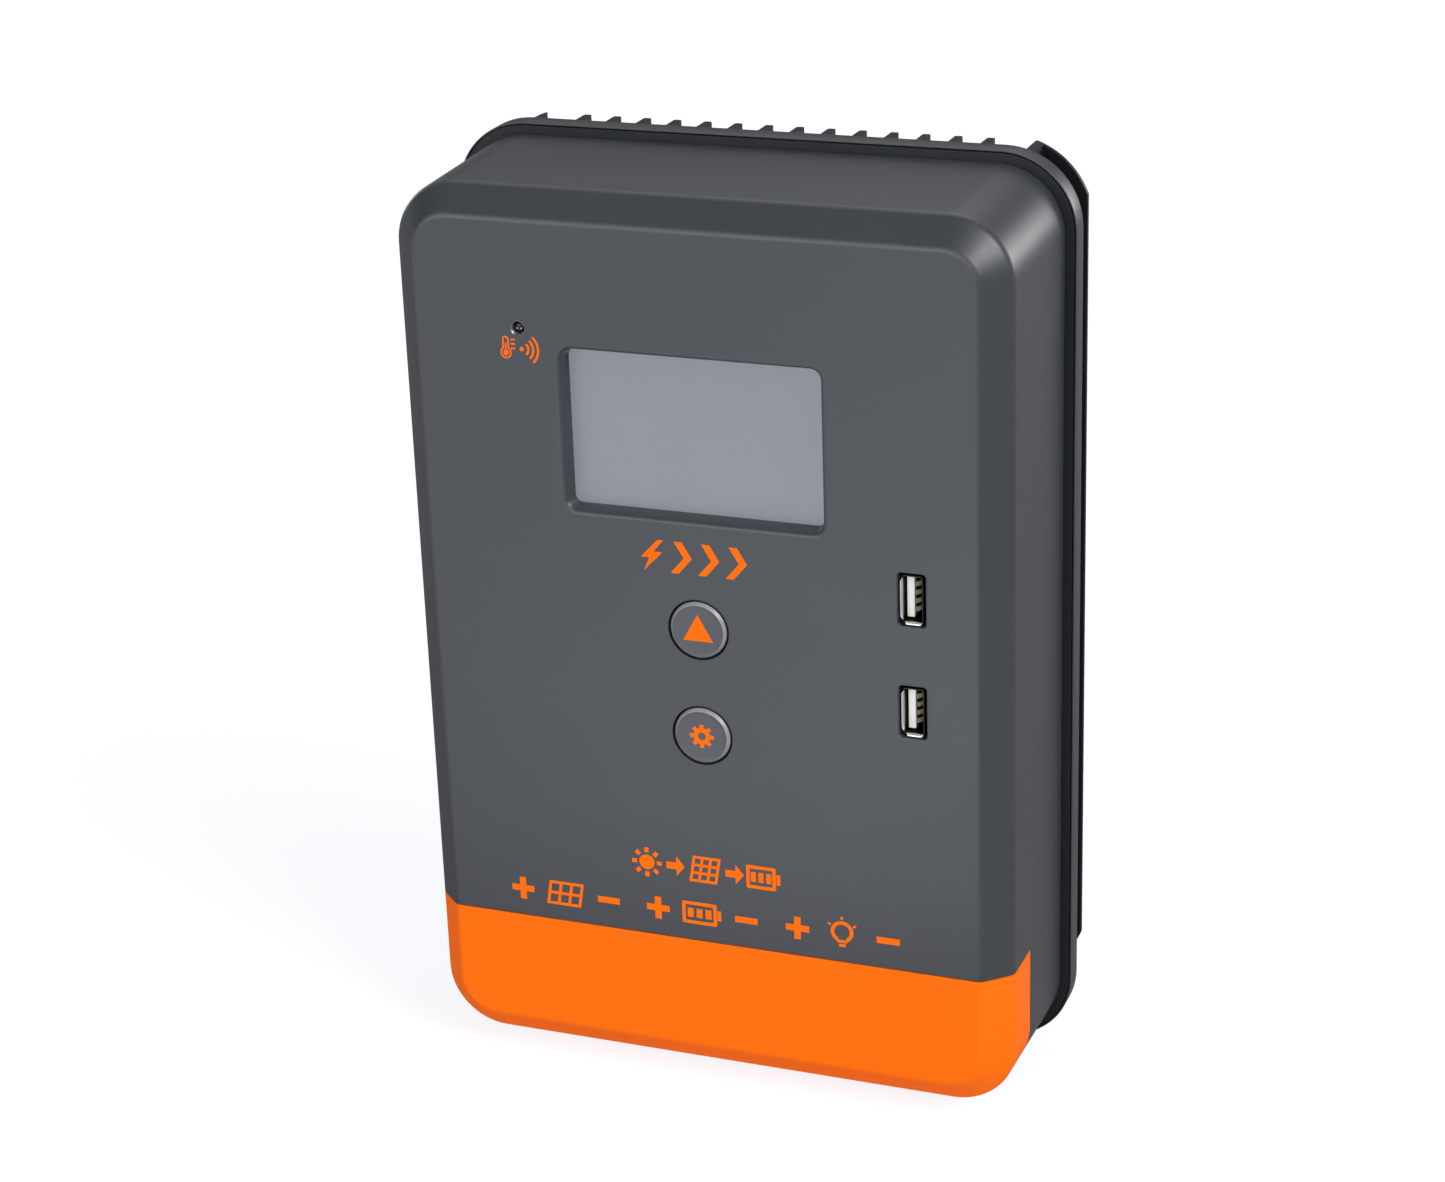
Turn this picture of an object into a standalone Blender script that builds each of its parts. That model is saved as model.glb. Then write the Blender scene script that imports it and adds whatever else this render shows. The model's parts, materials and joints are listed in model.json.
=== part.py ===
"""Wall-mounted solar charge controller.

A moulded front cover and a lift-off terminal cover close on a rear frame and
a finned heat sink. Inside are the display board with its two push buttons,
LCD, USB outlets and temperature sensor, and the power board with its choke,
capacitors, transistors, fuses and a six-pole terminal block.

Frame: +Z up, +X to the right, the display faces -Y. Origin at the middle of
the lowest edge. Sizes are in millimetres; a depth is measured back (+Y) from
the front face. Helper solids for the booleans run a little past what they cut.
"""
import bpy
import bmesh
from math import pi, sin, cos, radians
from mathutils import Matrix, Vector

MM = 0.001
ORIGIN = (0, 0, 0)


def spaced(count, pitch):
    """Evenly pitched positions centred on zero."""
    return [(i - (count - 1) / 2) * pitch for i in range(count)]


# ----------------------------------------------------------- main dimensions
GAP = 0.3                 # clearance between neighbouring parts
FACE_Y = -37.9            # plane of the front face
RIM_HALF = 88.5           # half width over the rear rim
RIM_HEIGHT = 261.0
RIM_RADIUS = 21.0
RIM_FRONT, RIM_BACK = 52.9, 60.0
MID_Z = RIM_HEIGHT / 2
BAND = 3.1                # step from the rim to the cover wall

SIDE_HALF = 85.07         # cover half width just behind the chamfer
SIDE_LOW, SIDE_HIGH = 4.69, 256.26
SIDE_RADIUS = 17.5
BACK_HALF = RIM_HALF - BAND     # cover half width at its rear edge
BACK_LOW, BACK_HIGH = BAND, RIM_HEIGHT - BAND
COVER_BACK = 52.6         # depth of the cover's rear edge
CHAMFER_IN = 7.3
CHAMFER_BACK = 6.83
FOOT_RISE = 0.65          # the lower chamfer is this much wider
WALL = 2.5
SEAM_Z = 45.9             # height of the seam above the terminal cover
SEAM_BACK = 22.0          # depth of the terminal cover's side walls

WINDOW_X, WINDOW_Z = (-36.8, 35.5), (170.1, 214.9)
WINDOW_DEPTH = 4.6        # depth of the well in front of the window
POCKET_MARGIN = 2.8       # the window's pocket is wider than its well

BUTTON_X = -0.4
BUTTON_Z = {"up": 139.3, "set": 108.5}
BUTTON_RADIUS, BUTTON_HOLE_RADIUS = 8.15, 8.75
BUTTON_PLACES = [(BUTTON_X, z) for z in BUTTON_Z.values()]

USB_X = 59.3
USB_Z = {"upper": 154.5, "lower": 122.8}
SENSOR_X, SENSOR_Z = -48.3, 219.5

BOARD_THICK = 1.6
DISPLAY_DEPTH, POWER_DEPTH = 14.0, 46.0      # front faces of the boards
DISPLAY_PARTS_BACK = DISPLAY_DEPTH - GAP     # just in front of the display board
DISPLAY_BACK = DISPLAY_DEPTH + BOARD_THICK + GAP
POWER_BACK = POWER_DEPTH + BOARD_THICK + GAP
POWER_PARTS_BACK = 45.6                      # just in front of the power board

# Fastener and post places as (x, z)
CASE_SCREWS = [(x, z) for z in (246.0, 56.0) for x in (-65.25, 65.25)]
POWER_POSTS = [(x, z) for z in (222.0, 30.0) for x in (-69.0, 69.0)]
DISPLAY_POSTS = [(-51.0, 104.0), (65.5, 220.0), (65.5, 104.0), (-51.0, 203.0)]
COVER_SCREW_X, COVER_SCREW_DEPTH = 60.0, 15.0

POLE_COUNT, POLE_PITCH = 6, 20.0
POLE_X = spaced(POLE_COUNT, POLE_PITCH)
TERMINAL_SCREW_Z = 26.0
POLE_SCREWS = [(x, TERMINAL_SCREW_Z) for x in POLE_X]


# ------------------------------------------------------------------ the scene
for old in list(bpy.data.objects):
    bpy.data.objects.remove(old, do_unlink=True)


def collection(name):
    group = bpy.data.collections.get(name) or bpy.data.collections.new(name)
    if group.name not in bpy.context.scene.collection.children:
        bpy.context.scene.collection.children.link(group)
    return group


PARTS = collection("charge_controller")
CUTTERS = collection("cutters")
ROOT = bpy.data.objects.new("charge_controller_origin", None)
PARTS.objects.link(ROOT)

# ----------------------------------------------------------------- materials
MATERIALS = {}


def material(name, colour, roughness, metallic=0.0):
    finish = bpy.data.materials.new(name)
    finish.use_nodes = True
    shader = finish.node_tree.nodes["Principled BSDF"]
    shader.inputs["Base Color"].default_value = (*colour, 1.0)
    shader.inputs["Roughness"].default_value = roughness
    shader.inputs["Metallic"].default_value = metallic
    MATERIALS[name] = finish


material("case_grey", colour=(0.095, 0.105, 0.115), roughness=0.5)
material("cover_orange", colour=(0.95, 0.15, 0.005), roughness=0.42)
material("black_anodised", colour=(0.012, 0.012, 0.014), roughness=0.45, metallic=0.5)
material("rubber", colour=(0.02, 0.02, 0.022), roughness=0.7)
material("window", colour=(0.32, 0.34, 0.38), roughness=0.12)
material("lcd", colour=(0.3, 0.33, 0.37), roughness=0.3)
material("steel", colour=(0.6, 0.6, 0.62), roughness=0.3, metallic=1.0)
material("black_plastic", colour=(0.015, 0.015, 0.017), roughness=0.45)
material("white_plastic", colour=(0.8, 0.8, 0.78), roughness=0.45)
material("board_green", colour=(0.01, 0.11, 0.045), roughness=0.4)
material("copper", colour=(0.75, 0.3, 0.12), roughness=0.3, metallic=1.0)
material("ferrite", colour=(0.42, 0.36, 0.08), roughness=0.55)
material("sleeve", colour=(0.02, 0.03, 0.08), roughness=0.35)
material("ribbon", colour=(0.5, 0.5, 0.52), roughness=0.5)
material("pad_blue", colour=(0.25, 0.4, 0.6), roughness=0.8)
material("fuse_yellow", colour=(0.9, 0.6, 0.02), roughness=0.25)
material("terminal_green", colour=(0.03, 0.03, 0.034), roughness=0.45)
material("brass", colour=(0.7, 0.5, 0.22), roughness=0.3, metallic=1.0)


# -------------------------------------------------------------------- limits
def depth(distance):
    """Y of a plane that lies the given depth behind the front face."""
    return FACE_Y + distance


def depths(front, back):
    return depth(front), depth(back)


def about(centre, half):
    return centre - half, centre + half


def grown(limits, margin):
    return limits[0] - margin, limits[1] + margin


# -------------------------------------------------------------- mesh helpers
def smooth(mesh):
    mesh.shade_smooth()
    mesh.set_sharp_from_angle(angle=radians(32.0))


def place(name, mesh, finish=None, location=ORIGIN):
    """Link a mesh as a part, or as a hidden wire helper if it has no finish."""
    mesh.name = name
    piece = bpy.data.objects.new(name, mesh)
    piece.location = [c * MM for c in location]
    if finish:
        mesh.materials.append(MATERIALS[finish])
        smooth(mesh)
        PARTS.objects.link(piece)
        piece.parent = ROOT
    else:
        CUTTERS.objects.link(piece)
        piece.hide_render = True
        piece.display_type = "WIRE"
    return piece


def to_mesh(form, centre=ORIGIN, front=None):
    """Turn a bmesh in millimetres into a mesh in metres about a centre.

    An open form also gives its front face, which is made to face -Y.
    """
    for v in form.verts:
        v.co = (v.co - Vector(centre)) * MM
    bmesh.ops.recalc_face_normals(form, faces=form.faces)
    if front and front.normal.y > 0:
        bmesh.ops.reverse_faces(form, faces=form.faces)
    mesh = bpy.data.meshes.new("mesh")
    form.to_mesh(mesh)
    form.free()
    return mesh


def round_edges(form, edges, radius, segments):
    bmesh.ops.bevel(form, geom=list(edges), offset=radius, segments=segments,
                    profile=0.5, affect="EDGES", offset_type="OFFSET")


def depth_edges(form):
    """Edges that run from front to back."""
    return [e for e in form.edges if abs(e.verts[0].co.y - e.verts[1].co.y) > 1]


def add_box(form, x, y, z, radius=0.0, segments=1, axis=None):
    """One box from its limits; radius rounds all edges or those along one axis."""
    corners = bmesh.ops.create_cube(form, size=1.0)["verts"]
    for v in corners:
        v.co = Vector([low + (at + 0.5) * (high - low)
                       for at, (low, high) in zip(v.co, (x, y, z))])
    if radius:
        edges = {e for v in corners for e in v.link_edges}
        if axis is not None:
            edges = {e for e in edges
                     if abs((e.verts[0].co - e.verts[1].co).normalized()[axis]) > 0.99}
        round_edges(form, edges, radius, segments)


def box(name, x, y, z, finish=None, radius=0.0, segments=1, axis=None):
    form = bmesh.new()
    add_box(form, x, y, z, radius, segments, axis)
    centre = [sum(limits) / 2 for limits in (x, y, z)]
    return place(name, to_mesh(form, centre), finish, centre)


def add_rod(form, centre, axis, radius, start, end, segments):
    """A cylinder along y or z from start to end; centre fixes the other axes."""
    turn = Matrix.Rotation(-pi / 2, 4, "X") if axis == "y" else Matrix.Identity(4)
    middle = Vector(centre)
    middle["xyz".index(axis)] = (start + end) / 2
    bmesh.ops.create_cone(form, cap_ends=True, cap_tris=False, segments=segments,
                          radius1=radius, radius2=radius, depth=end - start,
                          matrix=Matrix.Translation(middle) @ turn)


def add_rods(form, places, radius, front, back, segments=12):
    """Cylinders between two depths at each (x, z)."""
    for x, z in places:
        add_rod(form, (x, 0, z), "y", radius, depth(front), depth(back), segments)


def guide(name, fill, **sizes):
    """A helper made of one or more closed solids that fill adds."""
    form = bmesh.new()
    fill(form, **sizes)
    return place(name, to_mesh(form))


def boolean(piece, other, operation):
    modifier = piece.modifiers.new(other.name, "BOOLEAN")
    modifier.operation = operation
    modifier.solver = "EXACT"
    modifier.object = other


def cut(piece, *others):
    for other in others:
        boolean(piece, other, "DIFFERENCE")


def join(piece, *others):
    for other in others:
        boolean(piece, other, "UNION")


def baked(piece):
    """The mesh of an object with its modifiers applied."""
    bpy.context.view_layer.update()
    evaluated = piece.evaluated_get(bpy.context.evaluated_depsgraph_get())
    return bpy.data.meshes.new_from_object(evaluated)


def bake_prototype(piece, helper):
    """Apply the modifiers of a repeated piece, so that copies share one mesh."""
    mesh = baked(piece)
    form = bmesh.new()
    form.from_mesh(mesh)
    bmesh.ops.remove_doubles(form, verts=form.verts, dist=0.000002)
    bmesh.ops.dissolve_degenerate(form, edges=form.edges, dist=0.000002)
    form.to_mesh(mesh)
    form.free()
    smooth(mesh)
    piece.modifiers.clear()
    piece.data = mesh
    bpy.data.objects.remove(helper, do_unlink=True)


def place_set(first, stem, places):
    """Put the first piece at the first place and copies at the others."""
    first.location = [c * MM for c in places[0]]
    for number, at in enumerate(places[1:], 2):
        piece = bpy.data.objects.new("%s_%d" % (stem, number), first.data)
        piece.location = [c * MM for c in at]
        piece.rotation_euler = first.rotation_euler
        PARTS.objects.link(piece)
        piece.parent = ROOT


# ------------------------------------------------- outlines and turned pieces
def rounded_rectangle(x, z, radius, steps=8):
    """Points counter-clockwise, with the given steps in each corner."""
    left, right = grown(x, -radius)
    low, high = grown(z, -radius)
    points = []
    for centre_x, centre_z, start in ((right, high, 0), (left, high, 90),
                                      (left, low, 180), (right, low, 270)):
        for i in range(steps + 1):
            angle = radians(start + 90 * i / steps)
            points.append((centre_x + radius * cos(angle), centre_z + radius * sin(angle)))
    return points


def add_spline(curve, points):
    spline = curve.splines.new("POLY")
    spline.points.add(len(points) - 1)
    for point, at in zip(spline.points, points):
        point.co = (*[c * MM for c in at], 1)
    return spline


def curve_solid(name, curve, finish, merge, rotation=ORIGIN, location=ORIGIN):
    """Turn a curve into a mesh piece; merge is the weld distance in metres."""
    holder = bpy.data.objects.new(name + "_curve", curve)
    holder.rotation_euler = rotation
    holder.location = location
    CUTTERS.objects.link(holder)
    mesh = baked(holder)
    form = bmesh.new()
    form.from_mesh(mesh)
    bmesh.ops.remove_doubles(form, verts=form.verts, dist=merge)
    bmesh.ops.recalc_face_normals(form, faces=form.faces)
    form.to_mesh(mesh)
    form.free()
    piece = place(name, mesh, finish)
    piece.matrix_world = holder.matrix_world.copy()
    bpy.data.objects.remove(holder, do_unlink=True)
    return piece


# Rotation of an outline's plane, and the index of the axis normal to it
PLANES = {"XZ": ((pi / 2, 0, 0), 1), "XY": (ORIGIN, 2), "YZ": ((pi / 2, 0, pi / 2), 0)}


def outline(name, loops, plane, limits, finish=None):
    """A flat outline with optional holes, thickened between two limits."""
    rotation, normal = PLANES[plane]
    curve = bpy.data.curves.new(name + "_curve", "CURVE")
    curve.dimensions = "2D"
    curve.fill_mode = "BOTH"
    curve.extrude = abs(limits[1] - limits[0]) / 2 * MM
    for loop in loops:
        add_spline(curve, [(*point, 0) for point in loop]).use_cyclic_u = True
    location = [0, 0, 0]
    location[normal] = sum(limits) / 2 * MM
    return curve_solid(name, curve, finish, 0.000005, rotation, location)


# Rotations that point a turned piece's own +Z along an axis of the frame
FACING = {"-y": (pi / 2, 0, 0), "y": (-pi / 2, 0, 0), "-z": (pi, 0, 0), "z": ORIGIN}


def turned(name, profile, location, finish, steps, ring=False, facing="-y"):
    """A turned piece. The profile is (radius, height); a ring's profile closes."""
    form = bmesh.new()
    verts = [form.verts.new((radius * MM, 0, height * MM)) for radius, height in profile]
    for pair in zip(verts, verts[1:]):
        form.edges.new(pair)
    if ring:
        form.edges.new((verts[-1], verts[0]))
    mesh = bpy.data.meshes.new(name)
    form.to_mesh(mesh)
    form.free()
    piece = place(name, mesh, finish, location)
    modifier = piece.modifiers.new("turn", "SCREW")
    modifier.axis = "Z"
    modifier.steps = steps
    modifier.render_steps = steps
    modifier.use_merge_vertices = True
    modifier.merge_threshold = 0.00001
    modifier.use_smooth_shade = True
    piece.rotation_euler = FACING[facing]
    return piece


def screws(stem, places, facing, head, shank, slot=1.0, steps=14):
    """Slotted screws with their origins under the head.

    head is (radius, height), shank is (radius, length), slot is its width.
    """
    head_radius, head_height = head
    shank_radius, length = shank
    first = turned(stem + "_1",
                   [(0, head_height), (head_radius * 0.82, head_height),
                    (head_radius, head_height * 0.7), (head_radius, 0),
                    (shank_radius, 0), (shank_radius, -length), (0, -length)],
                   ORIGIN, "steel", steps, facing="z")
    groove = box(stem + "_1_slot", about(0, head_radius + 1), about(0, slot / 2),
                 (head_height * 0.5, head_height + 1))
    cut(first, groove)
    bake_prototype(first, groove)
    first.rotation_euler = FACING[facing]
    place_set(first, stem, places)


# ---------------------------------------------------------------- the casing
def casing_form(shrink=0.0):
    """The outer form of the cover, with its front and back faces.

    A box with rounded depth edges whose front face is drawn in to a chamfer
    and whose rear edge flares to the band. Shrink draws the walls inwards.
    """
    form = bmesh.new()
    # The front plane and the chamfer follow the shrink by these small shares.
    chamfer_back = CHAMFER_BACK + shrink * 0.41
    chamfer_in = CHAMFER_IN - shrink * 0.02
    add_box(form, about(0, SIDE_HALF - shrink), depths(chamfer_back, COVER_BACK),
            (SIDE_LOW + shrink, SIDE_HIGH - shrink), SIDE_RADIUS - shrink, 8, 1)
    front = min(form.faces, key=lambda face: face.calc_center_median().y)
    back = max(form.faces, key=lambda face: face.calc_center_median().y)
    bmesh.ops.inset_region(form, faces=[front], thickness=chamfer_in,
                           depth=0, use_even_offset=True)
    for v in front.verts:
        v.co.y = depth(shrink)
        if v.co.z < MID_Z:
            v.co.z += FOOT_RISE
    for v in back.verts:
        v.co.x += (BACK_HALF - SIDE_HALF) * (1 if v.co.x > 0 else -1)
        v.co.z += (BACK_HIGH - SIDE_HIGH) if v.co.z > MID_Z else (BACK_LOW - SIDE_LOW)
    return form, front, back


def cover_shell(name, finish):
    """The casing form, open at the back and given a wall."""
    form, front, back = casing_form()
    bmesh.ops.delete(form, geom=[back], context="FACES_ONLY")
    piece = place(name, to_mesh(form, front=front), finish)
    wall = piece.modifiers.new("wall", "SOLIDIFY")
    wall.thickness = WALL * MM
    wall.offset = -1
    wall.use_even_offset = True
    return piece


def seam_block(name, half, reach, gap):
    """The low front corner of the casing; gap is added beyond the seam."""
    return box(name, about(0, half), depths(-reach, SEAM_BACK + gap), (-reach, SEAM_Z + gap))


# ------------------------------------------------------------ terminal cover
SLOT_HALF = 1.8
SLOT_NOSE_RADIUS = 1.7
SLOT_NOSE = depth(COVER_SCREW_DEPTH - SLOT_HALF)


def fill_screw_slots(form):
    for side in (-1, 1):
        add_box(form, about(side * COVER_SCREW_X, SLOT_HALF), (SLOT_NOSE, depth(26.0)),
                (1.0, 8.4))
    nose = [e for e in form.edges
            if all(abs(v.co.y - SLOT_NOSE) < 0.01 for v in e.verts)
            and abs(e.verts[0].co.z - e.verts[1].co.z) > 1]
    round_edges(form, nose, SLOT_NOSE_RADIUS, 4)


def make_terminal_cover():
    """The low front corner of the casing.

    Open-ended slots let it leave its loosened screws behind.
    """
    cover = cover_shell("terminal_cover", "cover_orange")
    low_front = seam_block("low_front", half=100, reach=5, gap=-GAP / 2)
    boolean(cover, low_front, "INTERSECT")
    cut(cover, guide("cover_screw_slots", fill_screw_slots))


# --------------------------------------------------------------- front cover
RIB_FRONT = 1.2           # ribs start inside the front wall
BOSS_RADIUS = 4.2
POST_RADIUS = 2.8
COLLAR_RADIUS, COLLAR_BACK = 10.4, 6.0
USB_COLLAR_HALF_X, USB_COLLAR_HALF_Z, USB_COLLAR_BACK = 5.2, 8.8, 5.0
USB_OPENING = (7.6, 14.8)
WINDOW_FRAME, WINDOW_FRAME_BACK = 4.2, 6.9    # rib margin round the window
WELL_RADIUS = 3.0
WELL_DRAW = 0.9           # the window well narrows by this much on each side
PARTITION_TOP, PARTITION_BACK = SEAM_Z + 2.3, 43.0
CORE_SHRINK = 1.2
CABLE_DEPTH, CABLE_RADIUS = 36.5, 6.0
TAB_HALF = 66.0
TAB_BASE = SIDE_LOW + WALL + GAP
TAB_LOW, TAB_HIGH = TAB_BASE + 0.05, TAB_BASE + 3.2
TAB_FOOT = 5.6
TAB_FRONT, TAB_STEP, TAB_BACK = 9.0, 22.5, 27.0


def fill_ribs(form):
    """Screw bosses, board posts, button and USB collars, window frame."""
    add_rods(form, CASE_SCREWS, BOSS_RADIUS, front=1.6, back=COVER_BACK, segments=16)
    add_rods(form, DISPLAY_POSTS, POST_RADIUS, RIB_FRONT, DISPLAY_PARTS_BACK)
    add_rods(form, BUTTON_PLACES, COLLAR_RADIUS, RIB_FRONT, COLLAR_BACK, segments=24)
    for z in USB_Z.values():
        add_box(form, about(USB_X, USB_COLLAR_HALF_X), depths(RIB_FRONT, USB_COLLAR_BACK),
                about(z, USB_COLLAR_HALF_Z))
    add_box(form, grown(WINDOW_X, WINDOW_FRAME), depths(RIB_FRONT, WINDOW_FRAME_BACK),
            grown(WINDOW_Z, WINDOW_FRAME))


def make_partition():
    """Wall between the electronics and the terminals, trimmed to the casing."""
    form = casing_form(CORE_SHRINK)[0]
    core = place("cover_core", to_mesh(form))
    partition = box("partition", about(0, 90), depths(0, PARTITION_BACK),
                    (SEAM_Z + GAP / 2, PARTITION_TOP))
    boolean(partition, core, "INTERSECT")
    return partition


def make_screw_tab():
    """The tab that the terminal cover's screws reach."""
    profile = [(depth(TAB_FRONT), TAB_LOW), (depth(TAB_STEP), TAB_LOW),
               (depth(TAB_STEP), TAB_FOOT), (depth(TAB_BACK), TAB_FOOT),
               (depth(TAB_BACK), TAB_HIGH), (depth(TAB_FRONT), TAB_HIGH)]
    return outline("screw_tab", [profile], "YZ", about(0, TAB_HALF))


def fill_window_well(form):
    """A tapering well with rounded corners."""
    add_box(form, WINDOW_X, depths(-1.0, WINDOW_DEPTH + 0.1), WINDOW_Z)
    for v in form.verts:
        draw = WELL_DRAW / WINDOW_DEPTH * (v.co.y - FACE_Y)
        v.co.x += draw if v.co.x < 0 else -draw
        v.co.z += draw if v.co.z < sum(WINDOW_Z) / 2 else -draw
    round_edges(form, depth_edges(form), WELL_RADIUS, 4)


def fill_openings(form):
    add_box(form, grown(WINDOW_X, POCKET_MARGIN), depths(WINDOW_DEPTH, 8.0),
            grown(WINDOW_Z, POCKET_MARGIN))
    add_rods(form, BUTTON_PLACES, BUTTON_HOLE_RADIUS, front=-2, back=8, segments=32)
    width, height = USB_OPENING
    for z in USB_Z.values():
        add_box(form, about(USB_X, width / 2), depths(-2, 8), about(z, height / 2),
                radius=1.0, segments=3, axis=1)
    add_rods(form, [(SENSOR_X, SENSOR_Z)], radius=2.35, front=-2, back=4, segments=20)
    add_rods(form, CASE_SCREWS, radius=2.2, front=36, back=60)
    add_rods(form, DISPLAY_POSTS[:2], radius=1.5, front=6, back=18)
    for x in POLE_X:
        add_rod(form, (x, depth(CABLE_DEPTH), 0), "z", CABLE_RADIUS,
                start=-2, end=9.0, segments=20)
    for side in (-1, 1):
        add_rod(form, (side * COVER_SCREW_X, depth(COVER_SCREW_DEPTH), 0), "z", radius=1.8,
                start=6, end=12.5, segments=12)


def make_front_cover():
    cover = cover_shell("front_cover", "case_grey")
    cut(cover, seam_block("low_front_wide", half=101, reach=6, gap=GAP / 2))
    # The lip lies behind the seam.
    seam_lip = box("seam_lip", about(0, 70), depths(2.8, 4.6), (41.0, 47.0))
    join(cover, guide("cover_ribs", fill_ribs), make_partition(), seam_lip, make_screw_tab())
    cut(cover, guide("window_well", fill_window_well), guide("cover_openings", fill_openings))


# ---------------------------------------------------- rear frame and gasket
FRAME_FRONT = 57.2        # front of the frame's flat plate
FRAME_OPENING = rounded_rectangle((-58, 58), (66, 236), 6.0, 4)
SEAT_WIDTH = 7.5
GROOVE_DEEP = 1.3
GROOVE_INSETS = (0.4, 6.4)


def rim_loop(inset):
    return rounded_rectangle(about(0, RIM_HALF - inset), (inset, RIM_HEIGHT - inset),
                             RIM_RADIUS - inset)


def make_rear_frame():
    """A plate with a large opening, a raised seat round its rim and board posts."""
    frame = outline("rear_frame", [rim_loop(0), FRAME_OPENING], "XZ",
                    depths(FRAME_FRONT, RIM_BACK), "case_grey")
    seat = outline("frame_seat", [rim_loop(0), rim_loop(SEAT_WIDTH)], "XZ",
                   depths(RIM_FRONT, FRAME_FRONT + 0.3))
    groove = outline("gasket_groove", [rim_loop(inset) for inset in GROOVE_INSETS], "XZ",
                     depths(RIM_FRONT - 1, RIM_FRONT + GROOVE_DEEP))
    cut(seat, groove)
    join(frame, seat, guide("frame_posts", add_rods, places=POWER_POSTS, radius=3.5,
                            front=POWER_BACK, back=58.5))
    cut(frame, guide("frame_holes", fill_frame_holes))


def fill_frame_holes(form):
    add_rods(form, CASE_SCREWS, radius=2.3, front=50, back=62, segments=16)
    add_rods(form, POWER_POSTS[:2], radius=1.5, front=45, back=58.0)


def make_gasket():
    outer, inner = grown(GROOVE_INSETS, -GAP)
    outline("gasket", [rim_loop(outer), rim_loop(inner)], "XZ",
            depths(RIM_FRONT, RIM_FRONT + GROOVE_DEEP - GAP), "rubber")


# ----------------------------------------------------------------- heat sink
SINK_LOW, SINK_HIGH = 10.9, 258.2
SINK_FRONT, SINK_WEB, SINK_BACK = 60.3, 64.0, 76.4    # web: depth of its back face
FIN_THICK, FIN_PITCH, FIN_COUNT = 2.4, 9.0, 14
OUTER_FIN_X = 72.0
EAR_HALF = 85.5
EAR_THICK = 1.5
EAR_CORNER = 13.8         # height taken by the curved ear corner
EAR_CORNER_X = 71.4       # where the curve meets the end of the heat sink
EAR_CORNER_RADIUS = 23.3
KEY_X, KEY_Z = 79.3, (52.0, 216.0)
KEY_RADIUS = 4.3
KEY_SLOT_HALF, KEY_SLOT_RISE, KEY_SLOT_RADIUS = 2.3, 11.0, 2.2


def sink_section():
    """Section in XY: a web with fins behind it and a thin ear on each side."""
    edge = OUTER_FIN_X + FIN_THICK / 2
    front, web, back = depth(SINK_FRONT), depth(SINK_WEB), depth(SINK_BACK)
    ear_front = depth(SINK_BACK - EAR_THICK)
    section = [(-edge, front), (edge, front), (edge, ear_front), (EAR_HALF, ear_front),
               (EAR_HALF, back), (edge - FIN_THICK, back), (edge - FIN_THICK, web)]
    for x in reversed(spaced(FIN_COUNT, FIN_PITCH)):
        left, right = about(x, FIN_THICK / 2)
        section += [(right, web), (right, back), (left, back), (left, web)]
    section += [(-edge + FIN_THICK, web), (-edge + FIN_THICK, back), (-EAR_HALF, back),
                (-EAR_HALF, ear_front), (-edge, ear_front)]
    return section


def ear_corner(side, end_z, up):
    """The waste outside one curved ear corner; up is 1 at the top, -1 below."""
    start = Vector((EAR_CORNER_X, 0.0))
    end = Vector((EAR_HALF, EAR_CORNER))
    chord = end - start
    half = chord.length / 2
    normal = Vector((-chord.y, chord.x)).normalized()
    centre = (start + end) / 2 + normal * (EAR_CORNER_RADIUS ** 2 - half ** 2) ** 0.5
    steps = 8
    points = []
    for i in range(steps + 1):
        direction = (start - centre).lerp(end - centre, i / steps).normalized()
        points.append(centre + direction * EAR_CORNER_RADIUS)
    waste = 4
    points += [Vector((EAR_HALF + waste, EAR_CORNER)), Vector((EAR_HALF + waste, -waste)),
               Vector((EAR_CORNER_X, -waste))]
    return [(side * p.x, end_z - up * p.y) for p in points]


def fill_keyhole_slots(form):
    for side in (-1, 1):
        for z in KEY_Z:
            add_box(form, about(side * KEY_X, KEY_SLOT_HALF), depths(71, 79),
                    (z, z + KEY_SLOT_RISE))
    upper = [e for e in depth_edges(form)
             if min(abs(e.verts[0].co.z - z - KEY_SLOT_RISE) for z in KEY_Z) < 0.01]
    round_edges(form, upper, KEY_SLOT_RADIUS, 4)


def make_heat_sink():
    sink = outline("heat_sink", [sink_section()], "XY", (SINK_LOW, SINK_HIGH),
                   "black_anodised")
    for tag, side, end_z, up in (("tr", 1, SINK_HIGH, 1), ("tl", -1, SINK_HIGH, 1),
                                 ("br", 1, SINK_LOW, -1), ("bl", -1, SINK_LOW, -1)):
        cut(sink, outline("ear_corner_" + tag, [ear_corner(side, end_z, up)], "XZ",
                          depths(58, 80)))
    keyholes = [(side * KEY_X, z) for side in (-1, 1) for z in KEY_Z]
    cut(sink,
        guide("keyhole_wide", add_rods, places=keyholes, radius=KEY_RADIUS,
              front=70, back=80, segments=20),
        guide("keyhole_narrow", fill_keyhole_slots),
        guide("sink_holes", add_rods, places=CASE_SCREWS, radius=2.3,
              front=58, back=66, segments=16))


# ---------------------------------------------------- display window and LCD
LCD_FRONT = 7.2
LCD_MARGIN_X, LCD_MARGIN_Z = 5.2, 5.6         # frame beyond the window well
LCD_WALL = 0.7
SIGHT_MARGIN = 1.2


def make_display_window():
    margin = POCKET_MARGIN - GAP
    box("display_window", grown(WINDOW_X, margin), depths(WINDOW_DEPTH + GAP, 6.7),
        grown(WINDOW_Z, margin), "window", radius=1.2, segments=2, axis=1)


def lcd_box(name, inset, back, finish=None):
    """A box drawn in from the LCD frame's sides and front."""
    return box(name, grown(WINDOW_X, LCD_MARGIN_X - inset), depths(LCD_FRONT + inset, back),
               grown(WINDOW_Z, LCD_MARGIN_Z - inset), finish)


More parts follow.
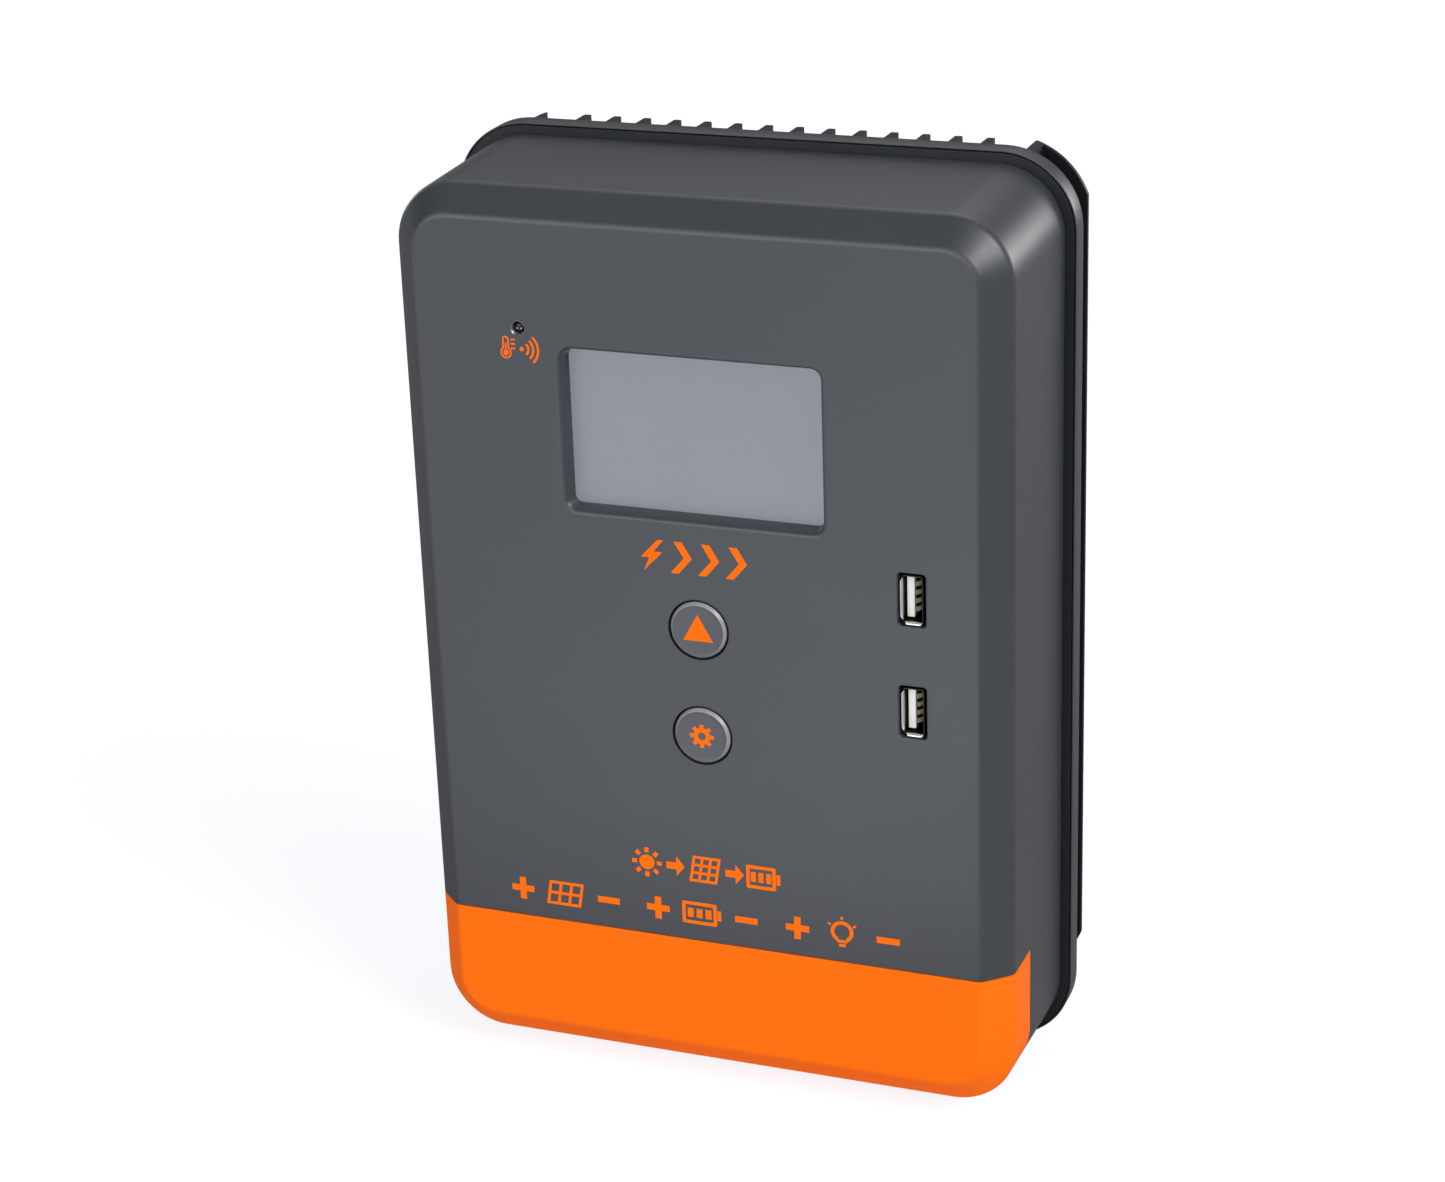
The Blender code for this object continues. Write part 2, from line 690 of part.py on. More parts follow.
def make_lcd():
    frame = lcd_box("lcd_frame", 0, DISPLAY_PARTS_BACK, "steel")
    cut(frame,
        guide("lcd_hollow", add_box, x=grown(WINDOW_X, LCD_MARGIN_X - LCD_WALL),
              y=depths(LCD_FRONT + LCD_WALL, 15.0),
              z=grown(WINDOW_Z, LCD_MARGIN_Z - LCD_WALL)),
        guide("lcd_sight", add_box, x=grown(WINDOW_X, SIGHT_MARGIN), y=depths(6.0, 8.5),
              z=grown(WINDOW_Z, SIGHT_MARGIN)))
    lcd_box("lcd_panel", LCD_WALL + GAP, DISPLAY_PARTS_BACK - GAP, "lcd")


# --------------------------------------------------- buttons and their switches
# Profiles are (radius, height), from the front end back; height is ahead of the origin.
BUTTON_PROFILE = [(0, 0.35), (5.4, 0.45), (7.2, 0.6), (7.75, 0.5), (BUTTON_RADIUS, 0.1),
                  (BUTTON_RADIUS, -6.3), (9.7, -6.3), (9.7, -7.5), (2.5, -7.5),
                  (2.5, -8.3), (0, -8.3)]
PLUNGER_PROFILE = [(0, 0), (1.35, 0), (1.6, -0.3), (1.6, -2.4), (0, -2.4)]
PLUNGER_FRONT = 8.6
SWITCH_HALF, SWITCH_FRONT = 3, 10.2


def make_button(key, z):
    turned(key + "_button", BUTTON_PROFILE, (BUTTON_X, FACE_Y, z), "case_grey", steps=24)
    switch = box(key + "_switch", about(BUTTON_X, SWITCH_HALF),
                 depths(SWITCH_FRONT, DISPLAY_PARTS_BACK), about(z, SWITCH_HALF),
                 "black_plastic")
    cut(switch, guide(key + "_switch_bore", add_rods, places=[(BUTTON_X, z)], radius=2.0,
                      front=9, back=12.4, segments=16))
    turned(key + "_plunger", PLUNGER_PROFILE, (BUTTON_X, depth(PLUNGER_FRONT), z),
           "white_plastic", steps=16)


# --------------------------------------------------------------- USB outlets
USB_HALF_X, USB_HALF_Z = 5.12 / 2, 12.5 / 2   # receptacle interior, a standard size
USB_WALL = 0.3


def make_usb_outlet(key, z):
    """A steel shell round a contact tongue on a wider heel."""
    inner_x, inner_z = about(USB_X, USB_HALF_X), about(z, USB_HALF_Z)
    outline("usb_shell_" + key,
            [rounded_rectangle(grown(inner_x, USB_WALL), grown(inner_z, USB_WALL), 0.7, 3),
             rounded_rectangle(inner_x, inner_z, 0.4, 3)],
            "XZ", depths(0.5, DISPLAY_PARTS_BACK), "steel")
    tongue = box("usb_tongue_" + key, (USB_X - 1.3, USB_X + 0.8), depths(2.5, 10.5),
                 about(z, 5.55), "white_plastic")
    heel = box("usb_heel_" + key, grown(inner_x, -0.3), depths(9.5, 13.5),
               grown(inner_z, -0.4))
    join(tongue, heel)


# -------------------------------------------------------- temperature sensor
SENSOR_PROFILE = [(0, 0.2), (0.7, 0.08), (1.2, -0.35), (1.5, -0.9), (1.5, -5.5), (0, -5.5)]
BEZEL_PROFILE = [(1.82, 0.12), (2.05, 0.05), (2.05, -2.8), (3.3, -2.8), (3.3, -3.6),
                 (1.82, -3.6)]
SENSOR_LEADS = [(SENSOR_X + offset, SENSOR_Z) for offset in (-0.75, 0.75)]


def make_sensor():
    at = (SENSOR_X, FACE_Y, SENSOR_Z)
    sensor = turned("temp_sensor", SENSOR_PROFILE, at, "black_plastic", steps=16)
    join(sensor, guide("sensor_leads", add_rods, places=SENSOR_LEADS, radius=0.3,
                       front=5.0, back=DISPLAY_PARTS_BACK, segments=6))
    turned("sensor_bezel", BEZEL_PROFILE, at, "steel", steps=20, ring=True)


# -------------------------------------------------------------------- boards
BOARD_HOLE_RADIUS = 1.7


def make_display_board():
    board = box("display_board", (-56, 70.5),
                depths(DISPLAY_DEPTH, DISPLAY_DEPTH + BOARD_THICK), (98, 226), "board_green")
    cut(board, guide("display_board_holes", add_rods, places=DISPLAY_POSTS[:2],
                     radius=BOARD_HOLE_RADIUS, front=12, back=18))


def fill_power_board_holes(form):
    """Clearance for the lower case bosses, and the upper screw holes."""
    add_rods(form, CASE_SCREWS[2:], radius=5.0, front=44, back=50, segments=16)
    add_rods(form, POWER_POSTS[:2], BOARD_HOLE_RADIUS, front=44, back=50)


def make_power_board():
    board = box("power_board", about(0, 74),
                depths(POWER_DEPTH, POWER_DEPTH + BOARD_THICK), (12, 236), "board_green")
    cut(board, guide("power_board_holes", fill_power_board_holes))


# Middle line of the flat cable from the display board down to the power
# board, as (depth, z)
RIBBON_LINE = [(16.0, 112.0), (19.0, 111.0), (22.0, 106.0), (24.0, 97.0), (27.0, 88.0),
               (32.0, 83.0), (38.0, 82.0), (42.0, 84.0), (POWER_PARTS_BACK, 85.0)]
RIBBON_HALF_THICK = 0.45
RIBBON_X = (-34.0, -12.0)


def make_ribbon_cable():
    upper, lower = [], []
    for i, (deep, z) in enumerate(RIBBON_LINE):
        before = Vector(RIBBON_LINE[max(i - 1, 0)])
        after = Vector(RIBBON_LINE[min(i + 1, len(RIBBON_LINE) - 1)])
        along = (after - before).normalized()
        across = Vector((-along.y, along.x)) * RIBBON_HALF_THICK
        upper.append((depth(deep + across.x), z + across.y))
        lower.append((depth(deep - across.x), z - across.y))
    outline("ribbon_cable", [upper + lower[::-1]], "YZ", RIBBON_X, "ribbon")


# --------------------------------------------------------------------- choke
CHOKE_X, CHOKE_Z, CHOKE_DEPTH = -36.0, 176.0, 34.5
CORE_IN, CORE_OUT, CORE_HALF = 10.5, 19.0, 13.0 / 2     # radii and half height
CORE_CHAMFER = 1.4
WIRE_RADIUS, TURN_COUNT = 0.8, 16
WIRE_REACH = GAP + WIRE_RADIUS + 0.1          # wire centre line off the core
TURN_CORNER = 2.4                             # corner cut of each turn
WINDING_START, WINDING_SWEEP = radians(60.0) * -1, radians(300.0)
LEAD_OUT = 2.6            # the last lead stands off the winding by this much


def make_inductor_core():
    inner, outer = CORE_IN + CORE_CHAMFER, CORE_OUT - CORE_CHAMFER
    high = CORE_HALF - CORE_CHAMFER
    turned("inductor_core",
           [(inner, CORE_HALF), (outer, CORE_HALF), (CORE_OUT, high), (CORE_OUT, -high),
            (outer, -CORE_HALF), (inner, -CORE_HALF), (CORE_IN, -high), (CORE_IN, high)],
           (CHOKE_X, depth(CHOKE_DEPTH), CHOKE_Z), "ferrite", steps=20, ring=True)


def choke_point(radius, height, angle):
    """A point round the choke's axis; height is ahead of its middle."""
    return (CHOKE_X + radius * cos(angle), depth(CHOKE_DEPTH - height),
            CHOKE_Z + radius * sin(angle))


def make_winding():
    """One wire wound round the core, with both leads run back to the board."""
    inner, outer = CORE_IN - WIRE_REACH, CORE_OUT + WIRE_REACH
    top = CORE_HALF + WIRE_REACH
    corner = TURN_CORNER
    loop = [(outer, -top + corner), (outer, top - corner), (outer - corner, top),
            (inner + corner, top), (inner, top - corner), (inner, -top + corner),
            (inner + corner, -top), (outer - corner, -top)]
    last = TURN_COUNT * len(loop) + 1
    path = [choke_point(*loop[i % len(loop)], WINDING_START + WINDING_SWEEP * i / last)
            for i in range(last + 1)]
    path.append(choke_point(outer + LEAD_OUT, -top + corner, WINDING_START + WINDING_SWEEP))
    board_y = depth(POWER_PARTS_BACK)
    path.insert(0, (path[0][0], board_y, path[0][2]))
    path.append((path[-1][0], board_y, path[-1][2]))
    curve = bpy.data.curves.new("inductor_winding_curve", "CURVE")
    curve.dimensions = "3D"
    curve.bevel_depth = WIRE_RADIUS * MM
    curve.bevel_resolution = 0
    curve.use_fill_caps = True
    add_spline(curve, path)
    curve_solid("inductor_winding", curve, "copper", 0.000002)


# ------------------------------------------------------ capacitors and fuses
# (radius, height ahead of the base)
CAPACITOR_PROFILE = [(0, 27.2), (7.6, 27.2), (8.6, 26.9), (9.0, 26.2), (9.0, 4.4),
                     (8.3, 3.9), (8.3, 3.4), (9.0, 2.9), (9.0, 0.6), (8.5, 0), (0, 0)]
CAPACITOR_X, CAPACITOR_Z = (4.0, 27.0, 50.0), 192.0
FUSE_X = spaced(2, 28.0)


def make_capacitors():
    for number, x in enumerate(CAPACITOR_X, 1):
        turned("capacitor_%d" % number, CAPACITOR_PROFILE,
               (x, depth(POWER_PARTS_BACK), CAPACITOR_Z), "sleeve", steps=18)


def fill_fuse_blades(form, x):
    for side in (-1, 1):
        add_box(form, about(x + side * 5.6, 2.4), depths(36.0, POWER_DEPTH - GAP),
                (68.0, 69.2))


def make_fuse(number, x):
    fuse = box("fuse_%d" % number, about(x, 9.5), depths(27.5, 38.0), (66.0, 71.0),
               "fuse_yellow", radius=0.8)
    join(fuse, guide("fuse_blades_%d" % number, fill_fuse_blades, x=x))


# ----------------------------------------------- transistors on the heat sink
MOSFET_X = spaced(3, 28.0)
MOSFET_HALF, MOSFET_BACK = 5, 59.2
LEG_OFFSETS = spaced(3, 2.54)
# Section of the clamp over the transistors, as (x, depth)
CLAMP_SECTION = [(-50, 60.0), (-50, 58.8), (-45.2, 58.8), (-43.2, 53.3),
                 (43.2, 53.3), (45.2, 58.8), (50, 58.8), (50, 60.0),
                 (44.4, 60.0), (42.4, 54.5), (-42.4, 54.5), (-44.4, 60.0)]


def fill_legs(form, x, half, y, z):
    for offset in LEG_OFFSETS:
        add_box(form, about(x + offset, half), y, z)


def make_mosfet(number, x):
    """A body with a tab above it and legs that turn forward to the power board."""
    body = box("mosfet_%d" % number, about(x, MOSFET_HALF), depths(54.8, MOSFET_BACK),
               (112.0, 121.0), "black_plastic")
    tab = box("mosfet_tab_%d" % number, about(x, MOSFET_HALF), depths(57.9, MOSFET_BACK),
              (120.0, 127.5))
    legs = guide("mosfet_legs_%d" % number, fill_legs, x=x, half=0.4,
                 y=depths(56.4, 57.0), z=(107.0, 113.0))
    feet = guide("mosfet_feet_%d" % number, fill_legs, x=x, half=0.35,
                 y=depths(POWER_BACK, 56.8), z=(107.2, 107.9))
    join(body, tab, legs, feet)


def make_thermal_pad():
    box("thermal_pad", about(0, 38), depths(MOSFET_BACK + GAP, RIM_BACK), (110.5, 129.5),
        "pad_blue")


def make_clamp():
    outline("mosfet_clamp", [[(x, depth(deep)) for x, deep in CLAMP_SECTION]], "XY",
            (113.0, 119.0), "steel")


# ------------------------------------------------------------ terminal block
TERMINAL_LOW, TERMINAL_HIGH = 12.0, 44.0
TERMINAL_FRONT = 13.0
CAGE_FRONT = 24.3
CAGE_HALF, CAGE_LENGTH = 7, 17.2
CAGE_SIDE, CAGE_FRONT_WALL, CAGE_BACK_WALL = 1.6, 1.8, 1.6


def fill_poles(form, half, y, z):
    """The same box at every pole."""
    for x in POLE_X:
        add_box(form, about(x, half), y, z)


def make_terminal_block():
    block = box("terminal_block", about(0, 62), depths(TERMINAL_FRONT, POWER_DEPTH - GAP),
                (TERMINAL_LOW, TERMINAL_HIGH), "terminal_green")
    cut(block,
        guide("cage_rooms", fill_poles, half=7.4, y=depths(19.5, 43.2), z=(16.0, 40.0)),
        guide("wire_mouths", fill_poles, half=6.0, y=depths(33.4, 42.0), z=(10.0, 17.0)),
        guide("screw_wells", add_rods, places=POLE_SCREWS, radius=4.5,
              front=11.0, back=17.5, segments=16),
        guide("screw_necks", add_rods, places=POLE_SCREWS, radius=2.5,
              front=17.0, back=20.0))
    join(block, guide("contact_bars", fill_poles, half=5.0, y=depths(31.6, 33.2),
                      z=(17.5, 41.0)))


def make_clamp_cages():
    """Rising clamp cages: each rides on its screw's thread."""
    inner = CAGE_HALF - CAGE_SIDE
    front, back = CAGE_FRONT_WALL, CAGE_LENGTH - CAGE_BACK_WALL
    cage = outline("clamp_cage_1",
                   [[(-CAGE_HALF, 0), (CAGE_HALF, 0), (CAGE_HALF, CAGE_LENGTH),
                     (-CAGE_HALF, CAGE_LENGTH)],
                    [(-inner, front), (inner, front), (inner, back), (-inner, back)]],
                   "XY", about(0, 8.0), "brass")
    thread = guide("cage_thread", add_rod, centre=ORIGIN, axis="y", radius=2.3,
                   start=-1, end=3, segments=12)
    cut(cage, thread)
    bake_prototype(cage, thread)
    place_set(cage, "clamp_cage", [(x, depth(CAGE_FRONT), z) for x, z in POLE_SCREWS])


# ----------------------------------------------------------------- fasteners
def at_depth(places, distance):
    return [(x, depth(distance), z) for x, z in places]


def make_screws():
    screws("terminal_screw", at_depth(POLE_SCREWS, 17.2), "-y",
           head=(3.9, 3.0), shank=(2.0, 14.0), slot=1.1)
    screws("case_screw", at_depth(CASE_SCREWS, SINK_WEB + GAP), "y",
           head=(3.6, 2.6), shank=(1.9, 26.0))
    cover_places = [(x, SIDE_LOW - GAP - 0.3) for x in (-COVER_SCREW_X, COVER_SCREW_X)]
    screws("cover_screw", at_depth(cover_places, COVER_SCREW_DEPTH), "-z",
           head=(2.9, 2.0), shank=(1.5, 7.5), slot=0.8)
    screws("display_board_screw", at_depth(DISPLAY_POSTS[:2], DISPLAY_BACK), "y",
           head=(2.6, 1.8), shank=(1.2, 8.0), slot=0.7, steps=12)
    screws("power_board_screw", at_depth(POWER_POSTS[:2], POWER_DEPTH - GAP), "-y",
           head=(2.6, 1.8), shank=(1.2, 9.0), slot=0.7, steps=12)


# ------------------------------------------------------------------ assembly
make_front_cover()
make_terminal_cover()
make_rear_frame()
make_gasket()
make_heat_sink()

make_display_window()
make_lcd()
for key, z in BUTTON_Z.items():
    make_button(key, z)
for key, z in USB_Z.items():
    make_usb_outlet(key, z)
make_sensor()

make_display_board()
make_power_board()
make_ribbon_cable()
make_inductor_core()
make_winding()
make_capacitors()
for number, x in enumerate(FUSE_X, 1):
    make_fuse(number, x)
for number, x in enumerate(MOSFET_X, 1):
    make_mosfet(number, x)
make_thermal_pad()
make_clamp()

make_terminal_block()
make_clamp_cages()
make_screws()

bpy.context.view_layer.update()
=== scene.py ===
"""Looks of a solar charge controller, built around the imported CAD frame.

The controller stands upright: its foot is at z = 0, x = 0 is its centre line and its front
faces -Y. Pieces are drawn in millimetres and scaled to metres when finished. A depth is
measured from the front face towards +Y.
"""
import bpy
import bmesh
import json
from math import pi, sin, cos, tan, radians, sqrt, atan2, acos
from mathutils import Matrix, Vector

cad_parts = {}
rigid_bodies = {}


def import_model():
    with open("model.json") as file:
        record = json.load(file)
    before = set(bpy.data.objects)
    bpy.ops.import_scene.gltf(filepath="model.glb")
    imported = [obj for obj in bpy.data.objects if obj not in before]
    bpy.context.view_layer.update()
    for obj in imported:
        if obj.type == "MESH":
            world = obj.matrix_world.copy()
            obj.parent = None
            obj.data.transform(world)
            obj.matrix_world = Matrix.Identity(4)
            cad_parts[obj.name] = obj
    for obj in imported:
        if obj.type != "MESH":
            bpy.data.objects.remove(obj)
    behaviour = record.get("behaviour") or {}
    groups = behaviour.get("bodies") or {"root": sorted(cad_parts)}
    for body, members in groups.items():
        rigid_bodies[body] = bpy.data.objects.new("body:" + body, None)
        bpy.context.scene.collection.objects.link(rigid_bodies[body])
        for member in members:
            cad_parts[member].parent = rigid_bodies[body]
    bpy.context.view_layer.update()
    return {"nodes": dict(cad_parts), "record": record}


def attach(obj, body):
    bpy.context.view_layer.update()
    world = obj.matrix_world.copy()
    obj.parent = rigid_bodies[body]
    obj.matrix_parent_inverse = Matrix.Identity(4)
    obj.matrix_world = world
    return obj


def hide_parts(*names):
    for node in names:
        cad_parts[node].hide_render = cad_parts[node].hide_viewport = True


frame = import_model()

MM = 0.001
FACE_Y = -37.9
ROOT = "controller"
SMOOTH_ANGLE = radians(31)
MATS = {}

WORK = bpy.data.collections.new("work")
bpy.context.scene.collection.children.link(WORK)

# ----------------------------------------------------------------- dimensions
# front casing: sides, chamfer round the face, and the back edge
SIDE_HALF, SIDE_LOW, SIDE_HIGH, SIDE_RADIUS = 85.07, 4.69, 256.26, 17.5
CHAMFER_IN, CHAMFER_DEEP, COVER_BACK = 7.3, 6.83, 52.6
WALL = 2.5
# parting line between the grey cover (above) and the orange terminal cover
SEAM, SEAM_BACK, GAP = 45.9, 22.0, 0.3
PARTITION_TOP = SEAM + 2.3
TAB_LOW, TAB_STEP, TAB_HIGH = SIDE_LOW + 2.85, 5.6, SIDE_LOW + 6.0

# openings in the face
WIN_X, WIN_Z = (-36.8, 35.5), (170.1, 214.9)
BUTTON_X, BUTTON_Z = -0.4, {"up": 139.3, "set": 108.5}
USB_X, USB_Z = 59.3, {"upper": 154.5, "lower": 122.8}
SENSOR_X, SENSOR_Z = -48.3, 219.5

# screws and posts as (x, z); cable holes in the foot
CASE_SCREWS = [(x, z) for z in (246.0, 56.0) for x in (-65.25, 65.25)]
DISPLAY_POSTS = [(-51.0, 104.0), (65.5, 220.0), (65.5, 104.0), (-51.0, 203.0)]
POWER_POSTS = [(x, z) for z in (222.0, 30.0) for x in (-69.0, 69.0)]
COVER_SCREW_X, COVER_SCREW_DEEP, COVER_SCREW_R = 60.0, 15.0, 1.8
CABLE_X, CABLE_DEEP, CABLE_R = [(i - 2.5) * 20.0 for i in range(6)], 36.5, 6.0

# rear frame
RIM_HALF, RIM_HEIGHT, RIM_RADIUS = 88.5, 261.0, 21.0
FRAME_FRONT, FRAME_FLOOR, FRAME_BACK = 52.9, 57.2, 60.0

# heat sink: ends in z, then depths, then fins and the flat ears along both sides
SINK_LOW, SINK_HIGH = 10.9, 258.2
SINK_FRONT, SINK_WEB, SINK_BACK = 60.3, 64.0, 76.4
FIN_T, PITCH, OUTER, FINS = 2.4, 9.0, 72.0, 14
EAR_HALF, EAR_T, EAR_CORNER, EAR_CUT_X, EAR_CUT_R = 85.5, 1.5, 13.8, 71.4, 23.3
KEY_X, KEY_Z, KEY_R, KEY_SLOT_R, KEY_RISE = 79.3, (52.0, 216.0), 4.3, 2.3, 8.7

# USB sockets
SHELL_HALF_X, SHELL_HALF_Z, SHELL_BACK = 2.86, 6.55, 13.7
CONTACT_Z, CONTACT_HALF = (-3.5, -1.15, 1.15, 3.5), 0.62
RIB_Z, RIB_HALF = (-4.6, -2.25, 0, 2.25, 4.6), 0.45


# ------------------------------------------------------------- shader helpers
class Nodes:
    """A small writer for one node tree."""

    def __init__(self, tree):
        self.tree = tree
        self.nodes = tree.nodes

    def feed(self, socket, value):
        """Link an output, or set a plain value."""
        if isinstance(value, bpy.types.NodeSocket):
            self.tree.links.new(value, socket)
        else:
            socket.default_value = value

    def add(self, kind, inputs=None, **settings):
        node = self.nodes.new("ShaderNode" + kind)
        for key, value in settings.items():
            setattr(node, key, value)
        for key, value in (inputs or {}).items():
            self.feed(node.inputs[key], value)
        return node

    def math(self, operation, a, b, clamp=False):
        node = self.add("Math", {0: a, 1: b}, operation=operation, use_clamp=clamp)
        return node.outputs["Value"]


class Mat(Nodes):
    """A material around one Principled shader, listed in MATS."""

    def __init__(self, name):
        self.material = bpy.data.materials.new(name)
        self.material.use_nodes = True
        super().__init__(self.material.node_tree)
        self.shader = self.nodes["Principled BSDF"]
        self.surface = self.nodes["Material Output"].inputs["Surface"]
        self.place = self.add("TexCoord").outputs["Object"]
        MATS[name] = self.material

    def set(self, **inputs):
        for key, value in inputs.items():
            self.feed(self.shader.inputs[key.replace("_", " ")], value)

    def mapped(self, key, value):
        return self.add("Mapping", {"Vector": self.place, key: value}).outputs["Vector"]

    def noise(self, scale, detail=3.0, rough=0.5, stretch=None):
        place = self.mapped("Scale", stretch) if stretch else self.place
        inputs = {"Scale": scale, "Detail": detail, "Roughness": rough, "Vector": place}
        return self.add("TexNoise", inputs).outputs["Fac"]

    def voronoi(self, scale):
        return self.add("TexVoronoi", {"Scale": scale, "Vector": self.place}).outputs["Distance"]

    def span(self, value, low, high, start=0.3, end=0.7):
        """Map start..end of a value onto low..high."""
        inputs = {"From Min": start, "From Max": end, "To Min": low, "To Max": high,
                  "Value": value}
        return self.add("MapRange", inputs).outputs["Result"]

    def mix(self, factor, a, b, blend="MIX"):
        # colour sockets of the Mix node: 0 factor, 6 A, 7 B, output 2
        node = self.add("Mix", {0: factor, 6: a, 7: b}, data_type="RGBA", blend_type=blend)
        return node.outputs[2]

    def bump(self, height, distance, strength=1.0, normal=None):
        inputs = {"Distance": distance, "Strength": strength, "Height": height}
        if normal is not None:
            inputs["Normal"] = normal
        return self.add("Bump", inputs).outputs["Normal"]

    def edges(self, end):
        """Mask of convex edges, from the geometry's pointiness."""
        pointiness = self.add("NewGeometry").outputs["Pointiness"]
        return self.span(pointiness, 0.0, 1.0, start=0.51, end=end)


def linear(level):
    level /= 255.0
    return level / 12.92 if level <= 0.04045 else ((level + 0.055) / 1.055) ** 2.4


def rgb(red, green, blue):
    return (linear(red), linear(green), linear(blue), 1.0)


def tint(colour, gain, lift=0.0):
    return tuple(min(1, c * gain + lift) for c in colour[:3]) + (1,)


# ------------------------------------------------------------------ materials
def moulded(name, colour, rough, grain=2600.0, depth=1.2e-5, vary=0.05, spec=0.5,
            wear=0.12, coat=0.0):
    """Moulded plastic: spark-eroded grain, faint flow variation, rubbed edges.

    grain is the noise scale and depth its bump in metres; vary is the colour variation.
    """
    mat = Mat(name)
    flow = mat.noise(9.0, detail=2.0, stretch=(1, 1, 0.4))
    fleck = mat.noise(grain * 0.8, detail=2.0, rough=0.6)
    base = mat.mix(mat.span(flow, 0, 1, start=0.35, end=0.65),
                   tint(colour, 1 - vary), tint(colour, 1 + vary))
    base = mat.mix(mat.span(fleck, 0, 0.10, start=0.35, end=0.7), base, (1, 1, 1, 1),
                   "SOFT_LIGHT")
    patches = mat.span(mat.noise(240, detail=4, rough=0.65), 0, 1, start=0.45, end=0.62)
    scuff = mat.math("MULTIPLY", mat.edges(end=0.60), patches)
    base = mat.mix(mat.math("MULTIPLY", scuff, wear, clamp=True), base,
                   tint(colour, gain=1.35, lift=0.02))
    broad = mat.span(mat.noise(38.0, detail=4.0, rough=0.6), -0.03, 0.04)
    fine = mat.span(mat.noise(grain * 0.5, detail=2), -0.02, 0.03)
    roughness = mat.math("ADD", mat.math("ADD", broad, rough), fine)
    height = mat.math("ADD", mat.noise(grain, detail=2.0, rough=0.55),
                      mat.math("MULTIPLY", mat.voronoi(grain * 0.55), 0.6))
    normal = mat.bump(height, depth)
    normal = mat.bump(mat.noise(26.0, detail=2.0), distance=6e-5, strength=0.5, normal=normal)
    mat.set(Base_Color=base, Roughness=roughness, Specular_IOR_Level=spec, Normal=normal)
    if coat:
        mat.set(Coat_Weight=coat, Coat_Roughness=0.25)


def metal(name, colour, rough, stretch=(1, 1, 1), scale=1600.0, depth=6e-6, vary=0.08,
          metallic=1.0):
    """Metal with drawn or brushed lines, stains and bright rubbed edges."""
    mat = Mat(name)
    dark, light = tint(colour, 1 - vary * 1.6), tint(colour, 1 + vary)
    line = mat.noise(scale, detail=4.0, rough=0.65, stretch=stretch)
    stain = mat.noise(55.0, detail=4.0, rough=0.6)
    base = mat.mix(mat.span(line, 0, 1), dark, light)
    base = mat.mix(mat.span(stain, 0, 0.25, start=0.4), base, dark)
    base = mat.mix(mat.math("MULTIPLY", mat.edges(end=0.58), 0.4), base, light)
    roughness = mat.math("ADD", mat.span(line, -0.06, 0.07), rough)
    roughness = mat.math("ADD", roughness, mat.span(stain, -0.03, 0.06), clamp=True)
    mat.set(Base_Color=base, Roughness=roughness, Metallic=metallic,
            Normal=mat.bump(line, depth))


def board_material():
    """Solder mask over etched tracks, with bright vias."""
    mat = Mat("board_green")
    brick = mat.add("TexBrick", {
        "Vector": mat.mapped("Rotation", (pi / 2, 0, 0)), "Scale": 110, "Mortar Size": 0.03,
        "Color1": (0, 0, 0, 1), "Color2": (0.35, 0.35, 0.35, 1), "Mortar": (1, 1, 1, 1)})
    patches = mat.span(mat.noise(70, detail=1, rough=0.4), 0, 1, start=0.42, end=0.5)
    tracks = mat.math("MULTIPLY", brick.outputs["Fac"], patches, clamp=True)
    via = mat.span(mat.voronoi(260.0), 1.0, 0.0, start=0.10, end=0.16)
    base = mat.mix(mat.span(mat.noise(20), 0, 1), rgb(14, 74, 44), rgb(20, 92, 54))
    base = mat.mix(tracks, base, rgb(34, 124, 72))
    base = mat.mix(via, base, rgb(190, 176, 120))
    mat.set(Base_Color=base, Roughness=mat.span(mat.noise(140, rough=0.6), 0.26, 0.42),
            Normal=mat.bump(mat.math("ADD", tracks, via), distance=4e-5))


def lcd_material():
    """Unlit reflective LCD: pale grey-blue with a faint electrode grid, and a painted glow that
    keeps it evenly bright.
    """
    mat = Mat("lcd")

    def lines(axis):
        wave = mat.add("TexWave", {"Scale": 420, "Vector": mat.place}, bands_direction=axis)
        return mat.span(wave.outputs["Fac"], 0, 1, start=0.9, end=1.0)

    grid = mat.math("MAXIMUM", lines("X"), lines("Z"))
    base = mat.mix(mat.span(mat.noise(14, detail=2), 0, 1),
                   (0.088, 0.091, 0.100, 1), (0.092, 0.095, 0.104, 1))
    base = mat.mix(mat.math("MULTIPLY", grid, 0.05), base, (0.14, 0.145, 0.165, 1))
    # the emission is a painted glow that evens out the light on the unlit panel
    mat.set(Base_Color=base, Emission_Color=mat.mix(0.02, (0.247, 0.257, 0.277, 1), base),
            Emission_Strength=1.0, Specular_IOR_Level=0.1,
            Roughness=mat.span(mat.noise(800, detail=2), 0.34, 0.42),
            Normal=mat.bump(mat.noise(5000, detail=2), distance=4e-7))


def window_material():
    """Clear hard-coated window: sees through with a soft surface reflection."""
    mat = Mat("window")
    clear = mat.add("BsdfTransparent", {"Color": (0.93, 0.94, 0.96, 1)})
    gloss = mat.add("BsdfGlossy", {
        "Color": (1, 1, 1, 1),
        "Roughness": mat.span(mat.noise(120, detail=4, rough=0.6), 0.10, 0.17),
        "Normal": mat.bump(mat.noise(40, detail=2), distance=4e-6)})
    fresnel = mat.add("Fresnel", {"IOR": 1.42}).outputs["Fac"]
    smudge = mat.span(mat.noise(30, detail=4, rough=0.6), 0.30, 0.42)
    shine = mat.math("MULTIPLY", fresnel, smudge, clamp=True)
    both = mat.add("MixShader", {0: shine, 1: clear.outputs[0], 2: gloss.outputs[0]})
    mat.feed(mat.surface, both.outputs[0])


GREY = (0.041, 0.0465, 0.0545, 1)
ORANGE = (1.0, 0.156, 0.0028, 1)


